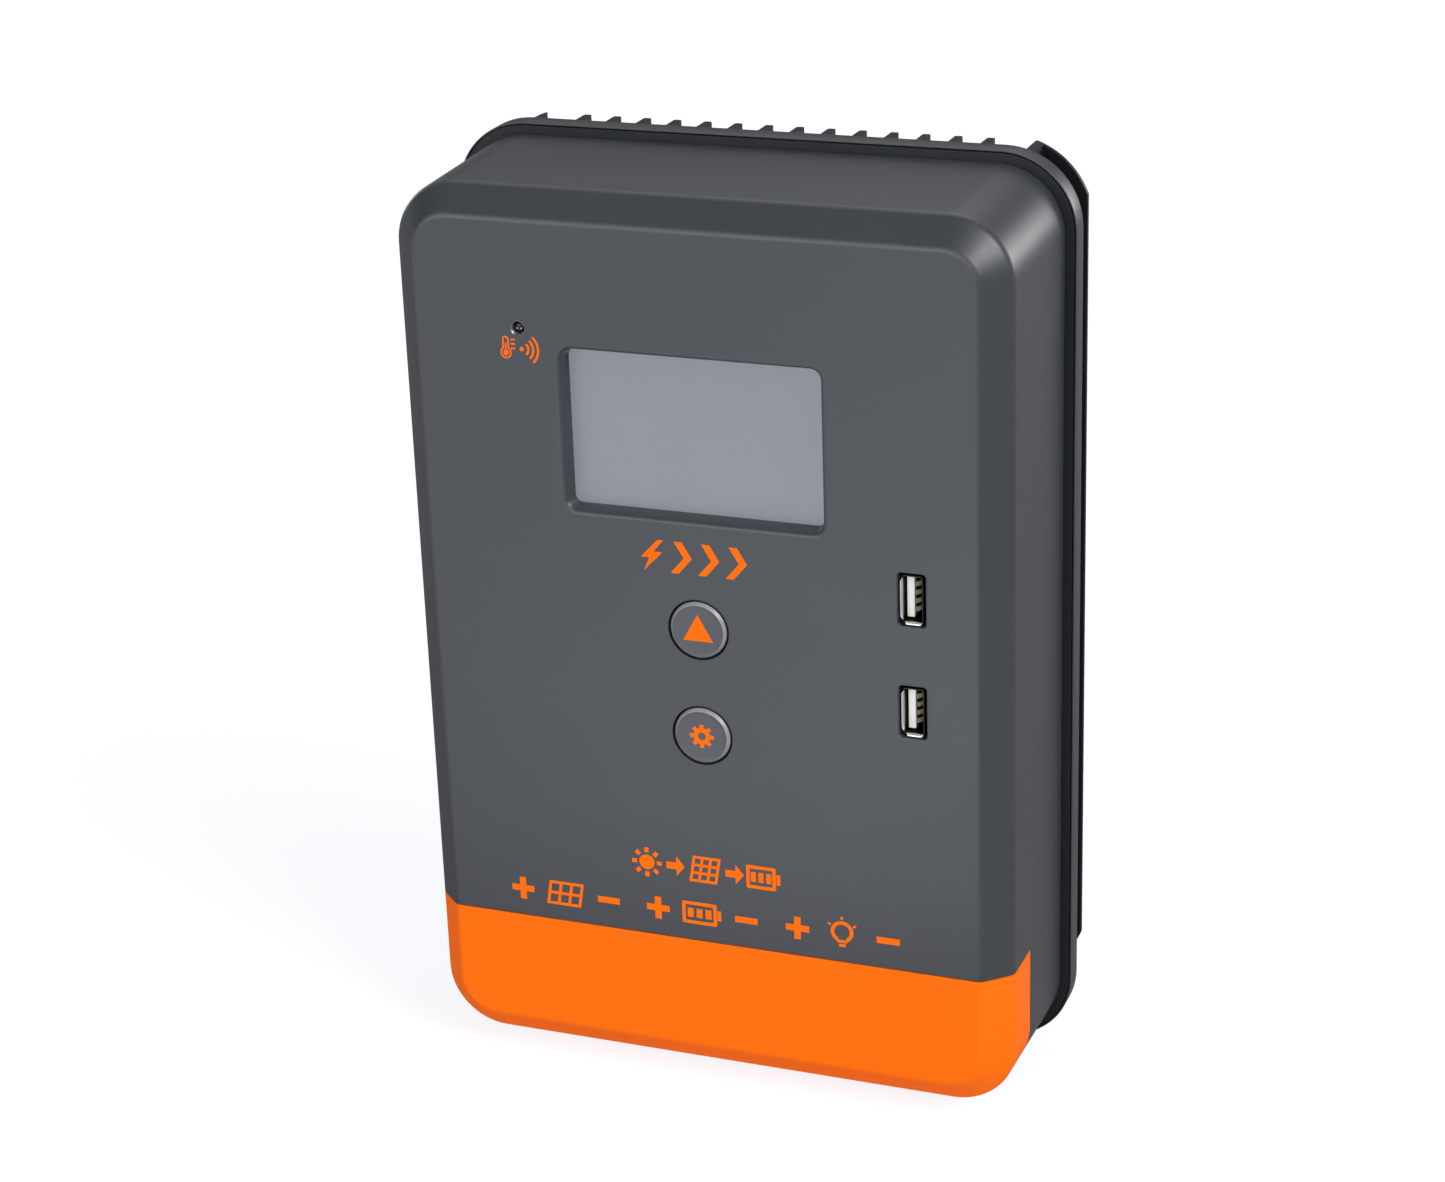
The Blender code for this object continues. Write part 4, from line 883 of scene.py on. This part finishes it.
def build_usb(key, z):
    port = "usb_" + key
    mesh = bmesh.new()
    path = rounded([(0.0, SHELL_BACK, 0), (0.0, 0.9, 0.14), (0.3, 0.9, 0.14),
                    (0.3, SHELL_BACK, 0)], 3)
    sweep(mesh, path,
          lambda p: at_depth(round_rect(USB_X, z, SHELL_HALF_X - p.x, SHELL_HALF_Z - p.x,
                                        0.75 - p.x, 6), p.y), closed=True)
    # the shell gets the dark steel copy, painted shade inside the port
    finish_piece(port + "_shell", mesh, "shell_inside", "usb_shell_" + key)

    # one tab on the long -X side and one on the short lower side
    mesh = bmesh.new()
    side, foot = SHELL_HALF_X - 0.29, SHELL_HALF_Z - 0.29
    flared_lip(mesh, 5.7,
               lambda offset, depth, along: (USB_X - side + offset, deep(depth), z + along))
    flared_lip(mesh, 2.25,
               lambda offset, depth, along: (USB_X + 0.25 + along, deep(depth),
                                             z - foot + offset))
    finish_piece(port + "_lips", mesh, "shell_steel")

    mesh = bmesh.new()
    add_box(mesh, (USB_X - 2.05, USB_X + 0.1), (2.5, 9.6), (z - 5.6, z + 5.6), 0.3, 3)
    add_box(mesh, (USB_X - 2.25, USB_X + 2.25), (9.55, 13.5), (z - 5.85, z + 5.85), 0.15, 2)
    finish_piece(port + "_tongue", mesh, "white_plastic",
                 "usb_tongue_" + key)

    mesh = bmesh.new()
    add_box(mesh, (USB_X + 0.05, USB_X + 0.24), (2.75, 9.5), (z - 5.3, z + 5.3), 0.06, 1)
    for rib in RIB_Z:
        add_box(mesh, (USB_X + 0.20, USB_X + 0.42), (3.0, 9.4),
                (z + rib - RIB_HALF, z + rib + RIB_HALF), 0.08, 1)
    finish_piece(port + "_carrier", mesh, "carrier_brown")

    section = rounded(CONTACT_TOP, 4) + rounded(CONTACT_UNDER, 4)
    for i, offset in enumerate(CONTACT_Z):
        mesh = bmesh.new()
        prism(mesh, [(USB_X + rise, y) for y, rise in section], "XY",
              z + offset - CONTACT_HALF, z + offset + CONTACT_HALF)
        finish_piece("%s_contact_%d" % (port, i + 1), mesh, "gold", bevel=0.05)


# ---------------------------------------------------------- temperature sensor
# Columns: radius, height.
LEAD_TIP = [(0.0, -0.42), (0.10, -0.44), (0.17, -0.50), (0.19, -0.60), (0.19, -1.6),
            (0.0, -1.6)]
SENSOR_RING = [(1.62, -1.1), (1.66, -0.9), (1.96, -0.06), (2.03, 0.0), (2.09, -0.03),
               (2.12, -0.1), (2.12, -2.8), (3.3, -2.8), (3.3, -3.6), (1.62, -3.6)]


def build_sensor():
    mesh = bmesh.new()
    radius, dome, back = 1.5, 1.0, -5.5
    angles = [pi / 2 * i / 8 for i in range(9)]
    bead = [(radius * sin(a), -1.75 + dome * cos(a)) for a in angles]
    bead += [(radius, back), (0.6, back), (0.0, back)]
    lathe(mesh, bead, SENSOR_X, SENSOR_Z, 40)
    for offset in (-0.75, 0.75):
        rod_y(mesh, SENSOR_X + offset, SENSOR_Z, 0.3, 5.4, 13.7, 12)
    finish_piece("sensor_bead", mesh, "bead_black", "temp_sensor")

    mesh = bmesh.new()
    for offset in (-0.22, 0.80):
        lathe(mesh, LEAD_TIP, SENSOR_X + offset, SENSOR_Z - 0.1, 20)
    finish_piece("sensor_lead_tips", mesh, "shell_steel")

    mesh = bmesh.new()
    lathe(mesh, SENSOR_RING, SENSOR_X, SENSOR_Z, 48, closed=True)
    finish_piece("sensor_ring", mesh, "ring_steel", "sensor_bezel")


# --------------------------------------------------------- pictogram outlines
# Outlines about their own centre, as (x, z).
BOLT = [(0.9, 4.5), (-2.9, -0.7), (-0.5, -0.7), (-1.3, -4.5), (2.9, 1.1), (0.4, 1.1),
        (2.6, 4.5)]
CHEVRON = [(-2.9, 4.5), (-0.6, 4.5), (2.7, 0.0), (-0.6, -4.5), (-2.9, -4.5), (0.4, 0.0)]
PLUS = [(-3.4, -0.95), (-0.95, -0.95), (-0.95, -3.4), (0.95, -3.4), (0.95, -0.95),
        (3.4, -0.95), (3.4, 0.95), (0.95, 0.95), (0.95, 3.4), (-0.95, 3.4), (-0.95, 0.95),
        (-3.4, 0.95)]
SLANT, PANEL_SLANT = 0.21, 0.16
POWER_Z, SOLAR_Z, TERMINAL_Z = 159.5, 68.0, 54.3


def bar(x, z, half_x, half_z, radius=0.12):
    return round_rect(x, z, half_x, half_z, radius, 3)


def turned_bar(x, z, angle, inner, outer, half):
    """A short bar lying along a radius."""
    return [(x + cos(angle) * a - sin(angle) * b, z + sin(angle) * a + cos(angle) * b)
            for a, b in ((inner, -half), (outer, -half), (outer, half), (inner, half))]


def moved(pairs, x, z, shear=0.0):
    return [(x + px + shear * pz, z + pz) for px, pz in pairs]


def ring_arc(x, z, radius, width, start, end, steps=14):
    def arc(size, first, last):
        angles = [first + (last - first) * i / steps for i in range(steps + 1)]
        return [(x + size * cos(a), z + size * sin(a)) for a in angles]

    return arc(radius + width / 2, start, end) + arc(radius - width / 2, end, start)


def thermometer(x, z, radius, half, top, steps=18):
    """A round bulb under a straight round-topped stem."""
    meet = acos(half / radius)
    angles = [meet - (pi + 2 * meet) * i / steps for i in range(steps + 1)]
    pairs = [(x + radius * cos(a), z + radius * sin(a)) for a in angles]
    return pairs + [(x - half * cos(pi * i / 8), top - half + half * sin(pi * i / 8))
                    for i in range(9)]


def sun(x, z, rays=8):
    return [circle(x, z, 2.25)] + [turned_bar(x, z, 2 * pi * i / rays, inner=2.95,
                                              outer=4.45, half=0.62) for i in range(rays)]


def arrow(x, z, half_x=2.7, half_z=3.0, shaft=1.05):
    neck = x + half_x * 0.1
    return [(x - half_x, z + shaft), (neck, z + shaft), (neck, z + half_z), (x + half_x, z),
            (neck, z - half_z), (neck, z - shaft), (x - half_x, z - shaft)]


def panel(x, z, half_x, half_z, cols, rows, line):
    """A leaning frame with a grid of open cells."""
    def cell(left, low, width, height):
        pairs = [(left, low), (left + width, low), (left + width, low + height),
                 (left, low + height)]
        return moved(pairs, x, z, PANEL_SLANT)

    width = (2 * half_x - line * (cols + 1)) / cols
    height = (2 * half_z - line * (rows + 1)) / rows
    cells = [cell(-half_x + line + i * (width + line), -half_z + line + j * (height + line),
                  width, height) for i in range(cols) for j in range(rows)]
    return [cell(-half_x, -half_z, 2 * half_x, 2 * half_z)] + cells


def battery(x, z, half_x, half_z, line=1.0):
    body = [round_rect(x, z, half_x, half_z, 0.5, 4),
            round_rect(x, z, half_x - line, half_z - line, 0.25, 4)]
    cells = [bar(x + i * half_x * 0.52, z, half_x * 0.17, half_z - 2 * line, 0.1)
             for i in (-1, 0, 1)]
    return [body, bar(x + half_x + 0.75, z, 0.55, half_z * 0.45)] + cells


def lamp(x, z, radius, line):
    start = radians(-62)
    rays = [turned_bar(x, z, radians(angle), radius + 1.0, radius + 1.9, 0.32)
            for angle in (30, 90, 150)]
    return [ring_arc(x, z, radius, line, start, pi - start, 28),
            bar(x, z - radius - 0.15, radius * 0.52, line * 0.42),
            bar(x, z - radius - 1.35, radius * 0.36, line * 0.42)] + rays


def gear(x, z, teeth=8):
    # one tooth: angle from its middle, radius
    tooth = ((-0.24, 2.45), (-0.17, 3.45), (0.17, 3.45), (0.24, 2.45))
    return [(x + radius * cos(2 * pi * i / teeth + offset),
             z + radius * sin(2 * pi * i / teeth + offset))
            for i in range(teeth) for offset, radius in tooth]


# ---------------------------------------------------------- printed pictograms
def printed(name, shapes, body=ROOT, rise=lambda x, z: 0.0, proud=0.05, sunk=0.1):
    """Thin solid print on a surface; a shape is one outline or a list with its holes."""
    mesh = bmesh.new()

    def layer(loops, offset):
        return [new_ring(mesh, [(x, deep(0) - rise(x, z) + offset, z) for x, z in loop])
                for loop in loops]

    for shape in shapes:
        loops = shape if isinstance(shape[0], list) else [shape]
        top = layer(loops, -proud)
        under = layer(loops, sunk)
        for a, b in zip(top, under):
            bridge(mesh, a, b)
        fill(mesh, top)
        fill(mesh, under)
    finish_piece(name, mesh, "print_orange", body=body)


def print_temperature():
    """Thermometer and sensing arcs under the sensor."""
    x, z = -52.0, 212.6
    dot_x, dot_z = -47.4, 213.9
    shapes = [[thermometer(x, z, 1.65, 0.95, 217.2), thermometer(x, z, 1.2, 0.5, 216.75)],
              thermometer(x, z, 0.8, 0.22, 215.4)]
    shapes += [bar(-49.9, tick_z, 0.65, 0.24) for tick_z in (213.9, 215.1, 216.3)]
    shapes.append(circle(dot_x, dot_z, 0.62, 20))
    shapes += [ring_arc(dot_x, dot_z, radius, 0.62, radians(-48), radians(48))
               for radius in (1.9, 3.3, 4.7)]
    printed("print_temperature", shapes)


def print_power():
    """Lightning bolt and three chevrons, all leaning."""
    printed("print_power", [moved(BOLT, -13.0, POWER_Z, SLANT)]
            + [moved(CHEVRON, x, POWER_Z, SLANT * 0.6) for x in (-4.2, 3.6, 11.4)])


def print_solar():
    """Sun, panel and battery with arrows between them."""
    printed("print_solar", sun(-18.3, SOLAR_Z) + [arrow(-9.8, SOLAR_Z)]
            + [panel(-1.1, SOLAR_Z, 4.1, 4.0, cols=3, rows=3, line=0.82)]
            + [arrow(7.6, SOLAR_Z)] + battery(15.3, SOLAR_Z, 4.3, 3.5))


def print_terminals():
    """Panel, battery and lamp, each between a plus and a minus."""
    shapes = []
    for x in (-43.6, -2.6, 38.4):
        shapes.append(moved(PLUS, x - 12.9, TERMINAL_Z))
        shapes.append(bar(x + 13.2, TERMINAL_Z, 3.3, 0.95, 0.05))
    shapes.append(panel(-43.6, TERMINAL_Z, 5.2, 3.7, cols=3, rows=2, line=0.85))
    shapes += battery(-3.2, TERMINAL_Z, 5.1, 3.4)
    shapes += lamp(38.4, TERMINAL_Z + 0.75, radius=2.75, line=1.05)
    printed("print_terminals", shapes)


def print_button(key, shape):
    def rise(x, z):
        return dish_rise(sqrt((x - BUTTON_X) ** 2 + (z - BUTTON_Z[key]) ** 2))

    printed("print_" + key, [shape], key + "_button", rise, proud=0.04, sunk=0.2)


def build_prints():
    print_temperature()
    print_power()
    print_solar()
    print_terminals()
    up_z, set_z = BUTTON_Z["up"], BUTTON_Z["set"]
    print_button("up", [(BUTTON_X, up_z + 4.6), (BUTTON_X - 4.3, up_z - 3.0),
                        (BUTTON_X + 4.3, up_z - 3.0)])
    print_button("set", [gear(BUTTON_X, set_z), circle(BUTTON_X, set_z, 1.15, 28)])


# ---------------------------------------------------------------------- camera
def add_camera():
    azimuth, elevation, roll = radians(21.511), radians(21.678), radians(-1.993)
    back = Vector((sin(azimuth) * cos(elevation), -cos(azimuth) * cos(elevation),
                   sin(elevation)))
    level = Vector((cos(azimuth), sin(azimuth), 0.0))
    upward = back.cross(level)
    right = level * cos(roll) + upward * sin(roll)
    top = -level * sin(roll) + upward * cos(roll)
    data = bpy.data.cameras.new("camera")
    data.sensor_fit = "HORIZONTAL"
    data.sensor_width = 36.0
    data.lens = 80.710754
    data.clip_start = 0.05
    data.clip_end = 20
    camera = bpy.data.objects.new("camera", data)
    pose = Matrix((right, top, back)).transposed().to_4x4()
    pose.translation = Vector((298.69, FACE_Y - 740.29, 467.72)) * MM
    camera.matrix_world = pose
    bpy.context.scene.collection.objects.link(camera)
    bpy.context.scene.camera = camera


# --------------------------------------------------- materials on the CAD nodes
SCREWS = ("case_screw", "cover_screw", "terminal_screw", "display_board_screw",
          "power_board_screw")


def dress_cad_nodes():
    for name, node in frame["nodes"].items():
        slot = next(part["material_slot"] for part in frame["record"]["subparts"]
                    if part["node"] == name)
        key = slot if slot in MATS else "steel"
        if name.startswith(SCREWS):
            key = "screw_zinc"
        node.data.materials.clear()
        node.data.materials.append(MATS[key])


# ------------------------------------------------------------ floor and lights
CARD_GLOW, FLOOR_GLOW = 0.92, 0.83
# light from the table onto what rests on it: reach in metres, strength
NEAR_REACH, NEAR_GLOW = 0.018, 0.25
# Fades of the card on the table, multiplied: axis, low, high, start, end (metres).
CARD_FADES = [("Y", 1.0, 0.0, -0.22, -0.08), ("X", 1.0, 2.0, -0.20, -0.02),
              ("Y", 0.45, 1.0, -1.0, -0.45), ("X", 1.0, 0.0, 0.03, 0.13)]


def floor_material():
    """White table whose colour and glow depend on the kind of ray that meets it."""
    mat = Mat("floor_white")
    pale = mat.mix(mat.span(mat.noise(3, detail=2), 0, 1),
                   (0.262, 0.248, 0.222, 1), (0.272, 0.258, 0.232, 1))
    ray = mat.add("LightPath").outputs
    seen = ray["Is Camera Ray"]
    around = mat.mix(ray["Is Glossy Ray"], (0.54, 0.54, 0.55, 1), (0.29, 0.29, 0.30, 1))
    # a pale card in front of the object, seen in its reflections
    place = mat.add("SeparateXYZ", {0: mat.place}).outputs
    card = None
    for axis, low, high, start, end in CARD_FADES:
        fade = mat.span(place[axis], low, high, start, end)
        card = fade if card is None else mat.math("MULTIPLY", card, fade)
    card = mat.math("MULTIPLY", mat.math("MULTIPLY", ray["Is Glossy Ray"], card), CARD_GLOW)
    near = mat.math("MULTIPLY", mat.math("LESS_THAN", ray["Ray Length"], NEAR_REACH),
                    ray["Is Diffuse Ray"])
    extra = mat.math("ADD", card, mat.math("MULTIPLY", near, NEAR_GLOW))
    mat.set(Base_Color=mat.mix(seen, around, pale), Roughness=0.9, Specular_IOR_Level=0.0,
            Emission_Color=(0.975, 1.0, 1.04, 1),
            Emission_Strength=mat.math("ADD", mat.math("MULTIPLY", seen, FLOOR_GLOW), extra))
    # no table at all when seen from beneath
    clear = mat.add("BsdfTransparent").outputs[0]
    beneath = mat.add("NewGeometry").outputs["Backfacing"]
    sides = mat.add("MixShader", {0: beneath, 1: mat.shader.outputs[0], 2: clear})
    mat.feed(mat.surface, sides.outputs[0])


def add_floor():
    data = bpy.data.meshes.new("floor")
    mesh = bmesh.new()
    bmesh.ops.create_grid(mesh, x_segments=1, y_segments=1, size=6.0)
    mesh.to_mesh(data)
    mesh.free()
    floor = bpy.data.objects.new("floor", data)
    floor.location = (0, 0, -0.0003)
    bpy.context.scene.collection.objects.link(floor)
    floor_material()
    data.materials.append(MATS["floor_white"])


# A soft studio of smooth lobes around the object. Columns: direction, brightness, and
# tightness of the lobe.
LAMPS = [((0.745, -0.330, 0.580), 17.3, 44.0), ((0.390, -0.287, 0.875), 1.0, 44.0),
         ((-0.442, -0.885, 0.148), 3.5, 12.0), ((0.000, -0.980, 0.150), 1.7, 12.0),
         ((0.428, -0.878, 0.216), 0.9, 44.0), ((0.250, -0.850, 0.450), 2.0, 44.0),
         ((0.830, 0.530, 0.170), 0.3, 20.0), ((0.595, 0.802, 0.057), 9.6, 44.0),
         ((-0.100, 0.620, 0.778), 1.8, 12.0), ((-0.800, 0.597, 0.060), 4.2, 44.0)]


def add_world():
    """White to the camera, and the sum of the lobes to every other ray."""
    world = bpy.data.worlds.new("studio")
    bpy.context.scene.world = world
    world.use_nodes = True
    tree = Nodes(world.node_tree)
    way = tree.add("TexCoord").outputs["Generated"]
    total = None
    for direction, brightness, tightness in LAMPS:
        dot = tree.add("VectorMath", {0: way, 1: direction}, operation="DOT_PRODUCT")
        facing = tree.math("MAXIMUM", dot.outputs["Value"], 0.0)
        lobe = tree.math("MULTIPLY", tree.math("POWER", facing, tightness), brightness)
        total = lobe if total is None else tree.math("ADD", total, lobe)
    seen = tree.add("LightPath").outputs["Is Camera Ray"]
    strength = tree.add("Mix", {0: seen, 2: total, 3: 1.0}, data_type="FLOAT").outputs[0]
    background = tree.nodes["Background"]
    tree.feed(background.inputs["Strength"], strength)
    tree.feed(background.inputs["Color"], (1, 1, 1, 1))


# ----------------------------------------------------------------------- build
make_materials()
build_covers()
build_frame()
build_gasket()
build_heat_sink()
build_window()
for key, z in BUTTON_Z.items():
    build_button(key, z)
for key, z in USB_Z.items():
    build_usb(key, z)
build_sensor()
build_prints()
add_camera()
dress_cad_nodes()
add_floor()
add_world()

view = bpy.context.scene.view_settings
view.view_transform = "Standard"
view.look = "None"
